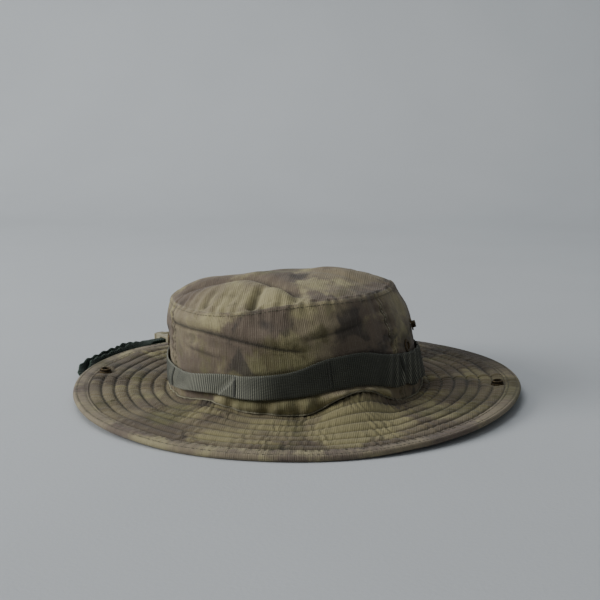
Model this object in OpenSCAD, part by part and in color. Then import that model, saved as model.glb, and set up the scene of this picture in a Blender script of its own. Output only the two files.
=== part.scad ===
// Boonie hat: a soft four-panel crown on a wide quilted brim whose two sides fold up and snap to the crown.
// It stands brim down. +X is the wearer's left-hand side as seen from the front, -Y is the front, +Z is up,
// and the origin is on the surface that the brim rests on, under the middle of the brim.

/* [Brim] */
// Width of the brim from side to side, without its binding
brim_w = 328; // [310:1:346]
// Length of the brim from front to back, without its binding
brim_l = 336; // [318:1:352]
// Thickness of one ply of brim fabric
ply_t = 0.8; // [0.5:0.1:1]
// Thickness of the stiffener between the two plies
core_t = 1; // [0.6:0.1:1.4]
// Thickness of the edge binding
bind_t = 0.8; // [0.5:0.1:1]
// Width of the edge binding on each face of the brim
bind_w = 10; // [7:0.5:13]
// Height of the side folds' underside above the surface, where the chin strap passes
side_lift = 2.6; // [2.4:0.1:3.4]
// Upward slope of each side of the brim at rest, in degrees
side_tilt = 3; // [2:0.5:5]

/* [Crown] */
// Outside width of the crown at the brim seam
crown_w = 188; // [180:1:192]
// Outside length of the crown at the brim seam, front to back
crown_l = 194; // [188:1:200]
// Height of the seam round the top panel on the lower side
top_seam_z = 75; // [70:1:80]
// How much higher that seam is on the other side
top_seam_rise = 5; // [0:1:8]
// Height of the highest point of the top panel
peak_z = 89; // [84:1:94]
// Sideways lean of the soft crown at the seam round its top panel
lean = 7.5; // [0:0.5:8]
// Thickness of the crown fabric
wall_t = 0.8; // [0.5:0.1:1]
// Half the angle that each side panel takes up, in degrees
side_panel_a = 30; // [24:6:36]

/* [Bands] */
// Height of the sweatband
sweat_h = 24; // [18:1:26]
// Thickness of the sweatband
sweat_t = 1.2; // [0.8:0.1:1.6]
// Width of the foliage band's webbing
web_w = 20; // [18:1:22]
// Thickness of that webbing
web_t = 1.2; // [1:0.1:1.4]
// Height of the webbing's lower edge above the brim seam
web_up = 8; // [7:0.5:9]
// Number of loops that the webbing is tacked into
loops = 9; // [9:1:9]

/* [Hardware] */
// Height of the vent eyelets
vent_z = 41; // [40.5:0.5:44]
// Angle between a vent eyelet and the side of the hat, in degrees
vent_a = 16; // [14:1:18]
// Radius of a vent eyelet's hole
vent_r = 2.5; // [2:0.1:3]
// Outside radius of a vent eyelet
vent_rim_r = 4.8; // [4.2:0.1:5]
// Distance from a side's fold line to its snap socket
socket_out = 47.5; // [46:0.5:48]
// Outside radius of a snap socket
socket_r = 4.8; // [4.5:0.1:5.2]
// Radius of a snap stud's knob
knob_r = 2.6; // [2.4:0.1:2.8]

/* [Chin strap] */
// Width of the flat braid
strap_w = 9; // [8:0.5:9]
// Thickness of the flat braid
strap_t = 2; // [1.6:0.1:2]

/* [Hidden] */

// Colours of the fabrics and the hardware
camo_tan = [0.44, 0.41, 0.33];
camo_brown = [0.33, 0.30, 0.25];
camo_olive = [0.40, 0.39, 0.28];
web_green = [0.24, 0.26, 0.21];
cotton = [0.36, 0.37, 0.30];
dark_brass = [0.20, 0.17, 0.11];
strap_green = [0.10, 0.19, 0.13];
khaki = [0.62, 0.60, 0.48];
steel = [0.6, 0.6, 0.6];

// Clearances: between sewn neighbours, half the cut at each fold line, and round a rivet
sewn_gap = 0.1;
fold_gap = 0.15;
rivet_gap = 0.1;

// The brim's outline and its layers, counted from the underside of the lower ply
edge_x = brim_w / 2;
edge_y = brim_l / 2;
brim_t = 2 * ply_t + core_t;
fold_x = crown_w / 2 + 7;
fold_rise = side_lift - bind_t;
hinge_z = side_lift + brim_t + bind_t + sewn_gap;
flat_half_x = 50;
flat_share = 0.8;

// The crown's own shape: how far its sides draw in with height
crown_x = crown_w / 2;
crown_y = crown_l / 2;
crown_z = 5.4;
draw_x = 0.105;
draw_y = 0.13;
shoulder_z = 52;
shoulder_curve = 0.008;
lean_slope = lean / (top_seam_z - crown_z);
step_a = 6;
wall_rows = 7;

// Snap fasteners
post_r = 1.4;
socket_h = 3;
recess_r = knob_r + 0.45;
recess_depth = 2.7;
knob_h = 2.4;
flange_r = 4.5;
flange_h = 1.4;
flange_lift = 0.7;
cap_r = 5.2;
cap_h = 1.5;

// The cord lock: where it stands on the strap, which way it slides, and its sizes
lock_at = [-131, 131];
lock_turn = 225;
lock_size = [15, 24, 8];
lock_base = 0.2;
slot_z = [1.5, 6.1];
slot_w = strap_w + 0.6;
plunger_x = 9;
plunger_z = [0.95, 6.65];
plunger_gap = 0.15;
press = 2.5;
pocket_end = 9.4;
spring_r = 2.3;
wire_r = 0.25;

// Route of the chin strap's centreline: x, y, z and the braid's turn about its own length in degrees.
// It leaves the left anchor under the brim, runs round the back left edge to the lock, opens into a loop
// and comes back under the brim and across the head opening to the right anchor.
strap_route = [
    [-81, 7, 1.2, 0], [-100, 7, 1.2, 0], [-120, 7, 1.3, 0], [-138, 7, 1.4, 0], [-153, 8, 1.6, 0],
    [-163, 15, 2.6, -16], [-167.5, 28, 4.7, -62], [-167, 42, 4.9, -88], [-163, 58, 4.9, -96],
    [-158, 73, 4.9, -84], [-154, 89, 4.9, -70], [-149, 104, 4.9, -34], [-143.5, 118.5, 4.9, 0],
    [-131, 131, 4.9, 0], [-114, 148, 4.9, 0], [-97, 165, 4.9, 0], [-84, 180, 3.8, 0], [-70, 194, 2.2, 0],
    [-52, 202, 1.4, 0], [-35, 198, 1.2, 0], [-27, 185, 1.2, 0], [-36, 175, 1.2, 0], [-54, 173, 1.3, 0],
    [-73, 173, 1.9, 0], [-88, 171, 2.5, 0], [-97, 165, 2.7, 0], [-114, 148, 2.7, 0], [-131, 131, 2.7, 0],
    [-143.5, 118.5, 2.7, 0], [-152, 106, 3.4, 30], [-161, 90, 4.8, 70], [-164, 73, 5.0, 82],
    [-170, 57, 5.0, 98], [-172, 41, 5.0, 84], [-174, 25, 4.9, 84], [-171, 11, 4.0, 40],
    [-164, 1, 2.1, 10], [-153, -5, 1.6, 0], [-138, -7, 1.4, 0], [-120, -7, 1.3, 0], [-100, -7, 1.2, 0],
    [-60, -8, 1.2, 0], [-20, -10, 1.2, 0], [20, -10, 1.2, 0], [60, -8, 1.2, 0], [81, -7, 1.2, 0]
];

function clamp(v, low, high) = max(low, min(high, v));
function smooth(t) = let (u = clamp(t, 0, 1)) u * u * (3 - 2 * u);
function bump(x, at, wide) = exp(-pow((x - at) / wide, 2));

// Heights on the brim: what the sides are raised by, and the drape of the front and back near the crown
function side_rise(x) = fold_rise * smooth((abs(x) - flat_half_x) / (fold_x - flat_half_x));
function window(x) = clamp(1 - pow(x / fold_x, 2), 0, 1);
function front_drape(x) =
    window(x) * (9.5 * bump(x, -52, 24) + 3.5 * bump(x, -4, 30)
        + 15 * bump(x, 46, 18) + 16 * bump(x, 64, 14));
function back_drape(x) = window(x) * (6 + 4 * bump(x, -30, 26));
function drape(x, front) = front ? front_drape(x) : back_drape(x);
function drape_share(v) = v < flat_share ? pow(1 - v / flat_share, 2) : 0;
function underside_z(x, v, front) = bind_t + side_rise(x) + drape(x, front) * drape_share(v);
function seam_z(a) = underside_z(crown_x * cos(a), 0, sin(a) < 0) + brim_t + sewn_gap;

// The crown: half width, half length and sideways shift at a height, and a point on its wall
function past_shoulder(z) = shoulder_curve * pow(max(0, z - shoulder_z), 2);
function half_x(z) = crown_x - draw_x * max(0, z - crown_z) - past_shoulder(z);
function half_y(z) = crown_y - draw_y * max(0, z - crown_z) - past_shoulder(z);
function shift_x(z) = -lean_slope * max(0, z - crown_z);
function wall_point(a, z, in) = [shift_x(z) + (half_x(z) - in) * cos(a), (half_y(z) - in) * sin(a), z];
function top_z(a) = top_seam_z + top_seam_rise * smooth((crown_x * cos(a) + 5) / 55);
function wall_grid(angles, in, low, high, rows) = [
    for (i = [0:rows]) [for (a = angles) let (z0 = seam_z(a) + low, z1 = top_z(a) + high)
        wall_point(a, z0 + (z1 - z0) * i / rows, in)]
];
function band_grid(angles, outs, heights) = [
    for (h = heights) [for (j = [0:len(angles) - 1]) wall_point(angles[j], seam_z(angles[j]) + h, -outs[j])]
];
function steps(from, to, count) = [for (i = [0:count]) from + (to - from) * i / count];
function set_in(angles, in) = [for (a = angles) -in];
function turn(from, to, step) = [for (a = [from:step:to]) a];
function normal_a(a, z) = atan2(sin(a) / half_y(z), cos(a) / half_x(z));
function wall_slope(a, z) = let (n = normal_a(a, z))
    atan(draw_x * cos(a) * cos(n) + draw_y * sin(a) * sin(n) + lean_slope * cos(n));

// Faces of a grid of points; flip turns them over
function grid_faces(rows, cols, first, flip) = [
    for (i = [0:rows - 2], j = [0:cols - 2])
        let (a = first + i * cols + j, b = a + 1, c = a + cols, d = c + 1)
        each (flip ? [[a, d, b], [a, c, d]] : [[a, b, d], [a, d, c]])
];
function strip_faces(outer, inner, flip) = [
    for (i = [0:len(outer) - 2])
        each (flip ? [[outer[i], inner[i + 1], outer[i + 1]], [outer[i], inner[i], inner[i + 1]]]
            : [[outer[i], outer[i + 1], inner[i + 1]], [outer[i], inner[i + 1], inner[i]]])
];

// A closed sheet between two grids of points that have the same rows and columns
module sheet(outer, inner) {
    rows = len(outer);
    cols = len(outer[0]);
    n = rows * cols;
    first_row = [for (j = [0:cols - 1]) j];
    last_row = [for (j = [0:cols - 1]) (rows - 1) * cols + j];
    first_col = [for (i = [0:rows - 1]) i * cols];
    last_col = [for (i = [0:rows - 1]) i * cols + cols - 1];
    polyhedron(
        points = concat([for (r = outer) each r], [for (r = inner) each r]),
        faces = concat(
            grid_faces(rows, cols, 0, true), grid_faces(rows, cols, n, false),
            strip_faces(first_row, [for (k = first_row) k + n], false),
            strip_faces(last_row, [for (k = last_row) k + n], true),
            strip_faces(first_col, [for (k = first_col) k + n], true),
            strip_faces(last_col, [for (k = last_col) k + n], false)
        )
    );
}

// A closed ring between two grids whose columns go right round
module ring(outer, inner) {
    rows = len(outer);
    cols = len(outer[0]);
    n = rows * cols;
    closed = [for (k = [0:cols]) k % cols];
    first_row = closed;
    last_row = [for (k = closed) (rows - 1) * cols + k];
    around = [for (i = [0:rows - 2], j = [0:cols - 1])
        let (a = i * cols + j, b = i * cols + (j + 1) % cols, c = a + cols, d = b + cols) [a, b, c, d]];
    polyhedron(
        points = concat([for (r = outer) each r], [for (r = inner) each r]),
        faces = concat(
            [for (q = around) each [[q[0], q[3], q[1]], [q[0], q[2], q[3]]]],
            [for (q = around) each [[q[0] + n, q[1] + n, q[3] + n], [q[0] + n, q[3] + n, q[2] + n]]],
            strip_faces(first_row, [for (k = first_row) k + n], false),
            strip_faces(last_row, [for (k = last_row) k + n], true)
        )
    );
}

function whole_end(ring) = [[for (k = [0:len(ring) - 1]) k]];

// A closed tube through rings of points. Its flat ends are the polygons in end, by the points' numbers.
module tube(rings, end) {
    sides = len(rings[0]);
    last = len(rings) - 1;
    polyhedron(
        points = [for (r = rings) each r],
        faces = concat(
            end,
            [for (i = [0:last - 1], k = [0:sides - 1])
                let (a = i * sides + k, b = i * sides + (k + 1) % sides) each
                    [[a, a + sides, b + sides], [a, b + sides, b]]],
            [for (e = end) [for (k = [len(e) - 1:-1:0]) last * sides + e[k]]]
        )
    );
}

// Places children on the crown wall: the outward direction becomes +Z and the origin lies on the outer face
module on_wall(a, z, rise) {
    translate(wall_point(a, z, 0)) rotate([0, 0, normal_a(a, z)]) rotate([0, 90 - rise, 0]) children();
}

vent_angles = [-vent_a, vent_a, 180 - vent_a, 180 + vent_a];

module on_vent(a) {
    on_wall(a, vent_z, wall_slope(a, vent_z)) children();
}

module drilled_vents() {
    difference() {
        children();
        for (a = vent_angles)
            on_vent(a) translate([0, 0, -4]) cylinder(r = vent_r + 0.7, h = 8, $fn = 48);
    }
}

// Where a side's socket meets the crown when the side is folded up: the angle of the fold and the stud's height
stack = socket_h + flange_h;
reach = socket_out;
plane_off = stack - bind_t - sewn_gap;
function wall_out(side, z) = half_x(z) + side * shift_x(z);
function stud_z_from(side, z) = hinge_z + sqrt(reach * reach + plane_off * plane_off
    - pow(fold_x - wall_out(side, z), 2));
function stud_z(side) = stud_z_from(side, stud_z_from(side, stud_z_from(side, shoulder_z)));
function fold_angle(side) =
    let (in = fold_x - wall_out(side, stud_z(side)), up = stud_z(side) - hinge_z)
    90 + atan2(in, up) - asin(plane_off / norm([in, up]));
function stud_rise(side) = fold_angle(side) - 90;
function side_angle(side) = side > 0 ? 0 : 180;

module on_stud(side) {
    on_wall(side_angle(side), stud_z(side), stud_rise(side)) children();
}

module drilled_stud(side) {
    difference() {
        children();
        on_stud(side) translate([0, 0, -4]) cylinder(r = post_r + rivet_gap, h = 8, $fn = 32);
    }
}

// ---- Crown ----

module crown_wall(from, to) {
    edge = 0.06;
    angles = [for (a = turn(from, to, step_a)) a == from ? a + edge : a == to ? a - edge : a];
    sheet(
        wall_grid(angles, 0, 0, 0, wall_rows),
        wall_grid(angles, wall_t, 0, 0, wall_rows)
    );
}

module crown_front_panel() {
    color(camo_tan) crown_wall(180 + side_panel_a, 360 - side_panel_a);
}

module crown_back_panel() {
    color(camo_tan) crown_wall(side_panel_a, 180 - side_panel_a);
}

module crown_right_panel() {
    color(camo_brown) drilled_stud(1) drilled_vents() crown_wall(-side_panel_a, side_panel_a);
}

module crown_left_panel() {
    color(camo_brown) drilled_stud(-1) drilled_vents() crown_wall(180 - side_panel_a, 180 + side_panel_a);
}

function top_point(a, share, in) =
    let (z = top_z(a) + sewn_gap, p = wall_point(a, z, 0), c = [shift_x(peak_z) + 4, 4])
    [
        c[0] + (p[0] - c[0]) * share, c[1] + (p[1] - c[1]) * share,
        z + (peak_z - z) * (1 - pow(share, 2.4)) - in + wall_t
    ];

module crown_top_panel() {
    shares = [1, 0.92, 0.8, 0.62, 0.42, 0.2];
    angles = turn(0, 360 - step_a, step_a);
    n = len(angles);
    rings = len(shares);
    apex = [top_point(0, 0, 0), top_point(0, 0, wall_t)];
    outer = [for (s = shares) each [for (a = angles) top_point(a, s, 0)]];
    inner = [for (s = shares) each [for (a = angles) top_point(a, s, wall_t)]];
    m = n * rings;
    quads = [for (i = [0:rings - 2], j = [0:n - 1])
        let (p = i * n + j, q = i * n + (j + 1) % n) [p, q, p + n, q + n]];
    rim = [for (j = [0:n - 1]) [j, (j + 1) % n]];
    hub = (rings - 1) * n;
    color(camo_olive) polyhedron(
        points = concat(outer, inner, apex),
        faces = concat(
            [for (q = quads) each [[q[0], q[3], q[1]], [q[0], q[2], q[3]]]],
            [for (q = quads) each [[q[0] + m, q[1] + m, q[3] + m], [q[0] + m, q[3] + m, q[2] + m]]],
            [for (r = rim) each [[r[0], r[1], r[1] + m], [r[0], r[1] + m, r[0] + m]]],
            [for (r = rim) [hub + r[0], 2 * m, hub + r[1]]],
            [for (r = rim) [hub + m + r[0], hub + m + r[1], 2 * m + 1]]
        )
    );
}

// ---- Tapes, sweatband and foliage band ----

all_round = turn(0, 360 - step_a, step_a);
tape_t = 0.6;
tape_in = wall_t + sewn_gap;
base_tape_h = 11;
top_tape_h = 8;
brim_lap = 2.4;

module base_seam_tape() {
    heights = [-brim_lap, 0, base_tape_h / 2, base_tape_h];
    color(cotton) ring(
        band_grid(all_round, set_in(all_round, tape_in), heights),
        band_grid(all_round, set_in(all_round, tape_in + tape_t), heights)
    );
}

module top_seam_tape() {
    rows = 2;
    function rows_at(in) = [for (i = [0:rows]) [for (a = all_round)
        wall_point(a, top_z(a) - 1 - top_tape_h * (1 - i / rows), in)]];
    color(cotton) ring(rows_at(tape_in + 0.25), rows_at(tape_in + 0.25 + tape_t));
}

sweat_in = tape_in + tape_t + sewn_gap;

module sweatband() {
    heights = steps(0, sweat_h, 3);
    color(cotton) ring(
        band_grid(all_round, set_in(all_round, sweat_in), heights),
        band_grid(all_round, set_in(all_round, sweat_in + sweat_t), heights)
    );
}

web_step = 4;
web_gap = 0.3;
loop_a = 360 / loops;
first_tack_a = 14;
loop_slack = [1.6, 1.2, 1.4, 1.2, 1.6, 2.6, 2.2, 1.4, 2.0];
web_angles = turn(0, 360 - web_step, web_step);
function loop_share(a) = (a - first_tack_a + 360) % loop_a / loop_a;
function loop_of(a) = floor(((a - first_tack_a + 360) % 360) / loop_a);
function web_out(a) = web_gap + loop_slack[loop_of(a)] * pow(sin(180 * loop_share(a)), 2);

module foliage_band() {
    heights = steps(web_up, web_up + web_w, 4);
    outs = [for (a = web_angles) web_out(a)];
    color(web_green) ring(
        band_grid(web_angles, [for (o = outs) o + web_t], heights),
        band_grid(web_angles, outs, heights)
    );
}

module foliage_band_tacks() {
    tack = [web_w - 3, 1.8, 0.5];
    color([0.12, 0.13, 0.11])
        for (k = [0:loops - 1]) {
            a = first_tack_a + k * loop_a;
            z = seam_z(a) + web_up + web_w / 2;
            out = web_gap + web_t + tack[2] / 2 + 0.25;
            on_wall(a, z, wall_slope(a, z)) translate([0, 0, out]) cube(tack, center = true);
        }
}

// ---- Vents and snap fasteners ----

module vent_eyelets() {
    color(dark_brass)
        for (a = vent_angles)
            on_vent(a) rotate_extrude($fn = 64) polygon([
                [vent_r, -wall_t - 1.2], [vent_r + 0.5, -wall_t - 1.2], [vent_r + 0.5, 0.35],
                [vent_rim_r, 0.35], [vent_rim_r, 0.6], [vent_rim_r - 0.5, 1.05], [vent_r + 0.6, 1.2],
                [vent_r + 0.1, 1], [vent_r, 0.7]
            ]);
}

module vent_washers() {
    color(steel)
        for (a = vent_angles)
            on_vent(a) translate([0, 0, -wall_t - 1]) difference() {
                cylinder(r = vent_rim_r, h = 0.4, $fn = 48);
                translate([0, 0, -1]) cylinder(r = vent_r + 0.6, h = 3, $fn = 48);
            }
}

// The male half on the crown. Its knob enters the socket's recess when the side is folded up.
module snap_stud(side) {
    color(dark_brass) on_stud(side) difference() {
        union() {
            translate([0, 0, flange_lift]) cylinder(r = flange_r, h = flange_h - flange_lift, $fn = 48);
            translate([0, 0, flange_lift]) cylinder(r = knob_r, h = flange_h - flange_lift + knob_h, $fn = 48);
        }
        translate([0, 0, -1]) cylinder(r = post_r + rivet_gap, h = 3.5, $fn = 32);
    }
}

module snap_post(side) {
    color(steel) on_stud(side) {
        translate([0, 0, -3.4]) cylinder(r = post_r, h = 5.7, $fn = 32);
        translate([0, 0, -3.4]) cylinder(r = flange_r, h = 0.8, $fn = 48);
    }
}

// Children are drawn flat, with the fold line on the Y axis, the brim running out along +X and
// the hinge axis at the origin, and are then tilted and moved to one side of the hat.
module on_side(side) {
    translate([side * fold_x, 0, hinge_z]) rotate([0, -side * side_tilt, 0])
        mirror([side < 0 ? 1 : 0, 0, 0]) children();
}

under_z = -hinge_z + side_lift;

module snap_socket(side) {
    top_of_brim = under_z + brim_t;
    color(dark_brass) on_side(side) translate([socket_out, 0, top_of_brim]) rotate_extrude($fn = 64) polygon([
        [post_r + rivet_gap, 0], [socket_r, 0], [socket_r, 0.8], [socket_r - 0.6, 1.4],
        [socket_r - 0.6, socket_h - 0.4], [socket_r - 1, socket_h], [recess_r, socket_h],
        [recess_r, socket_h - recess_depth], [post_r + rivet_gap, socket_h - recess_depth]
    ]);
}

module snap_cap(side) {
    color(dark_brass) on_side(side) translate([socket_out, 0, under_z]) rotate_extrude($fn = 64) polygon([
        [0, -cap_h], [cap_r - 2.2, -cap_h], [cap_r - 0.6, -cap_h + 0.5], [cap_r, -0.5], [cap_r, 0],
        [post_r, 0], [post_r, brim_t + 0.25], [0, brim_t + 0.25]
    ]);
}

// ---- Brim: front and back ----

v_rows = [0, 0.08, 0.18, 0.3, 0.44, 0.6, 0.8, 1];
side_cut = 0.1;

// Columns of the front or back half: first its outer strip beside the fold line, then round the crown
function half_columns() = concat(
    [-(fold_x - fold_gap), -(fold_x + crown_x) / 2],
    [for (a = turn(180, 360, step_a)) crown_x * cos(a)],
    [(fold_x + crown_x) / 2, fold_x - fold_gap]
);
function inner_x(x) = abs(x) > crown_x - 0.01 ? x : x * (crown_x - wall_t) / crown_x;
function inner_y(x) = abs(x) > crown_x - 0.01 ? side_cut
    : max(side_cut, (crown_y - wall_t) * sqrt(1 - pow(x / crown_x, 2)));
function outer_y(x) = edge_y * sqrt(1 - pow(x / edge_x, 2));
function brim_point(x, v, up, front) =
    let (xi = inner_x(x), way = front ? -1 : 1, px = xi + (x - xi) * v)
    [px, way * (inner_y(x) + (outer_y(x) - inner_y(x)) * v), underside_z(x, v, front) + up];
function brim_grid(up, front) = [for (v = v_rows) [for (x = half_columns())
    brim_point(x, v, up, front)]];

// The front's columns run the other way, so that its faces turn the same way as the back's
function backward(list) = [for (i = [len(list) - 1:-1:0]) list[i]];
function half_grid(up, front) = [for (r = brim_grid(up, front)) front ? backward(r) : r];

module brim_half(low, high, front) {
    sheet(half_grid(high, front), half_grid(low, front));
}

module brim_upper(front) {
    color(camo_tan) brim_half(ply_t + core_t, brim_t, front);
}

module brim_stiffener(front) {
    color(cotton) brim_half(ply_t, ply_t + core_t, front);
}

module brim_lower(front) {
    color(camo_brown) brim_half(0, ply_t, front);
}

// The binding is folded over the edge. Its legs have the width bind_w measured square to the edge.
function slant(x) = sqrt(1 + pow(x * edge_y * edge_y / (edge_x * edge_x * outer_y(x)), 2));
function binding_section(x, front) =
    let (way = front ? -1 : 1, y = outer_y(x), z = side_rise(x), s = slant(x), top = 2 * bind_t + brim_t)
    [for (p = [
        [bind_t, 0], [bind_t, top], [-bind_w, top], [-bind_w, top - bind_t],
        [0, top - bind_t], [0, bind_t], [-bind_w, bind_t], [-bind_w, 0]
    ]) [x, way * (y + p[0] * s), z + p[1]]];

module brim_binding(front) {
    columns = half_columns();
    sections = [for (x = columns) binding_section(x, front)];
    color(camo_olive) tube(front ? backward(sections) : sections, [[0, 5, 6, 7], [0, 1, 4, 5], [1, 2, 3, 4]]);
}

// ---- Brim: the two sides that fold ----

function side_arc(out) =
    let (ax = edge_x + out, ay = edge_y + out, a0 = acos((fold_x + fold_gap) / ax), steps = 36)
    [for (i = [0:steps]) let (a = -a0 + 2 * a0 * i / steps) [ax * cos(a) - fold_x, ay * sin(a)]];

module side_layer(side, low, high) {
    difference() {
        on_side(side) translate([0, 0, under_z + low]) linear_extrude(high - low) polygon(side_arc(0));
        on_side(side) translate([socket_out, 0, under_z - 2]) cylinder(r = post_r + rivet_gap, h = 8, $fn = 32);
    }
}

module brim_upper_side(side) {
    color(camo_tan) side_layer(side, ply_t + core_t, brim_t);
}

module brim_stiffener_side(side) {
    color(cotton) side_layer(side, ply_t, ply_t + core_t);
}

module brim_lower_side(side) {
    color(camo_brown) side_layer(side, 0, ply_t);
}

module binding_strip(from, to) {
    outer = side_arc(to);
    inner = side_arc(from);
    polygon(concat(outer, backward(inner)));
}

module brim_binding_side(side) {
    color(camo_olive) on_side(side) union() {
        translate([0, 0, under_z - bind_t]) linear_extrude(bind_t) binding_strip(-bind_w, bind_t);
        translate([0, 0, under_z + brim_t]) linear_extrude(bind_t) binding_strip(-bind_w, bind_t);
        translate([0, 0, under_z - bind_t / 2]) linear_extrude(brim_t + bind_t) binding_strip(0, bind_t);
    }
}

// ---- Chin strap ----

function side_of(t) = let (s = [t[1], -t[0], 0]) s / norm(s);
function strap_section(p, t) =
    let (
        w = strap_w / 2, h = strap_t / 2, e = 0.6, side = side_of(t), up = cross(side, t),
        s = side * cos(p[3]) + up * sin(p[3]), u = up * cos(p[3]) - side * sin(p[3]), c = [p[0], p[1], p[2]]
    )
    [for (q = [
        [w, h - e], [w - e, h], [e - w, h], [-w, h - e], [-w, e - h], [e - w, -h], [w - e, -h], [w, e - h]
    ]) c + s * q[0] + u * q[1]];
function along(points, i) =
    let (a = points[max(0, i - 1)], b = points[min(len(points) - 1, i + 1)], d = [for (k = [0:2]) b[k] - a[k]])
    d / norm(d);

// Half-way points on a smooth curve through the route, wherever it bends
function midway(points, i) =
    let (
        a = points[max(0, i - 1)], b = points[i], c = points[i + 1], d = points[min(len(points) - 1, i + 2)]
    )
    (-a + 9 * b + 9 * c - d) / 16;
function bends(points, i) = norm(along(points, i + 1) - along(points, i)) > 0.16;
function eased(points) = [for (i = [0:len(points) - 1])
    each (i < len(points) - 1 && bends(points, i) ? [points[i], midway(points, i)] : [points[i]])];
strap_line = eased(strap_route);

module chin_strap() {
    rings = [for (i = [0:len(strap_line) - 1]) strap_section(strap_line[i], along(strap_line, i))];
    color(strap_green) tube(rings, whole_end(rings[0]));
}

// A folded tab inside each side of the sweatband. The strap's end is sewn under its lower leg.
module strap_anchor_tabs() {
    tab_w = 11;
    tab_t = 0.8;
    tab_h = 13;
    leg = 12;
    low = 1.2 + strap_t / 2 + sewn_gap;
    off_y = 7;
    x = crown_x * sqrt(1 - pow((off_y + tab_w / 2) / crown_y, 2)) - sweat_in - sweat_t - 2.6;
    color(cotton)
        for (side = [-1, 1])
            mirror([side < 0 ? 1 : 0, 0, 0]) {
                translate([x - tab_t, -side * off_y - tab_w / 2, low]) cube([tab_t, tab_w, tab_h]);
                translate([x - leg, -side * off_y - tab_w / 2, low]) cube([leg, tab_w, tab_t]);
            }
}

// ---- Cord lock: drawn with the strap along X and the plunger along Y, then turned to its place ----

module at_lock() {
    translate([lock_at[0], lock_at[1], lock_base]) rotate([0, 0, lock_turn]) children();
}

module rounded_bar(size, r) {
    hull()
        for (x = [-1, 1], y = [-1, 1])
            translate([x * (size[0] / 2 - r), y * (size[1] / 2 - r), 0])
                cylinder(r = r, h = size[2], $fn = 32);
}

slot_low = slot_z[0] - lock_base;
slot_tall = slot_z[1] - slot_z[0];
pocket_low = plunger_z[0] - lock_base - plunger_gap;
pocket_tall = plunger_z[1] - plunger_z[0] + 2 * plunger_gap;

module cord_lock_barrel() {
    color(khaki) at_lock() difference() {
        rounded_bar(lock_size, 2.5);
        translate([-lock_size[0], -slot_w / 2, slot_low]) cube([2 * lock_size[0], slot_w, slot_tall]);
        translate([-plunger_x / 2 - plunger_gap, -lock_size[1], pocket_low])
            cube([plunger_x + 2 * plunger_gap, lock_size[1] + pocket_end, pocket_tall]);
    }
}

module cord_lock_plunger() {
    plunger_end = 5.9;
    button_out = 17.5;
    color(khaki) at_lock() difference() {
        union() {
            translate([-plunger_x / 2, -button_out, plunger_z[0] - lock_base])
                cube([plunger_x, button_out + plunger_end, plunger_z[1] - plunger_z[0]]);
            translate([0, -button_out - 0.8, plunger_z[0] - lock_base])
                rounded_bar([plunger_x + 2, 2.4, plunger_z[1] - plunger_z[0]], 1.1);
        }
        translate([-plunger_x, -slot_w / 2 - press, slot_low])
            cube([2 * plunger_x, slot_w + press, slot_tall]);
    }
}

module cord_lock_spring() {
    turns = 4;
    per_turn = 14;
    sides = 6;
    start = 5.9 + wire_r + 0.1;
    end = pocket_end - wire_r - 0.1;
    z = (plunger_z[0] + plunger_z[1]) / 2 - lock_base;
    steps = turns * per_turn;
    rings = [for (i = [0:steps]) let (a = 360 * i / per_turn, y = start + (end - start) * i / steps)
        [for (k = [0:sides - 1]) let (b = -360 * k / sides, r = spring_r + wire_r * cos(b))
            [r * cos(a), y + wire_r * sin(b), z + r * sin(a)]]];
    color(steel) at_lock() tube(rings, whole_end(rings[0]));
}

crown_top_panel();
crown_front_panel();
crown_back_panel();
crown_left_panel();
crown_right_panel();
top_seam_tape();
base_seam_tape();
sweatband();
foliage_band();
foliage_band_tacks();
vent_eyelets();
vent_washers();
snap_stud(-1);  // crown_snap_stud_left
snap_stud(1);  // crown_snap_stud_right
snap_post(-1);  // crown_snap_post_left
snap_post(1);  // crown_snap_post_right
brim_upper(true);  // brim_upper_front
brim_upper(false);  // brim_upper_back
brim_stiffener(true);  // brim_stiffener_front
brim_stiffener(false);  // brim_stiffener_back
brim_lower(true);  // brim_lower_front
brim_lower(false);  // brim_lower_back
brim_binding(true);  // brim_binding_front
brim_binding(false);  // brim_binding_back
brim_upper_side(-1);  // brim_upper_left
brim_stiffener_side(-1);  // brim_stiffener_left
brim_lower_side(-1);  // brim_lower_left
brim_binding_side(-1);  // brim_binding_left
snap_socket(-1);  // snap_socket_left
snap_cap(-1);  // snap_cap_left
brim_upper_side(1);  // brim_upper_right
brim_stiffener_side(1);  // brim_stiffener_right
brim_lower_side(1);  // brim_lower_right
brim_binding_side(1);  // brim_binding_right
snap_socket(1);  // snap_socket_right
snap_cap(1);  // snap_cap_right
strap_anchor_tabs();
chin_strap();
cord_lock_barrel();
cord_lock_spring();
cord_lock_plunger();
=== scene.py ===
"""Looks of the boonie hat: cloth, stitching, webbing, strap and hardware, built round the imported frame."""

import math

import bpy
import bmesh
import numpy as np
from mathutils import Matrix, Vector


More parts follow.
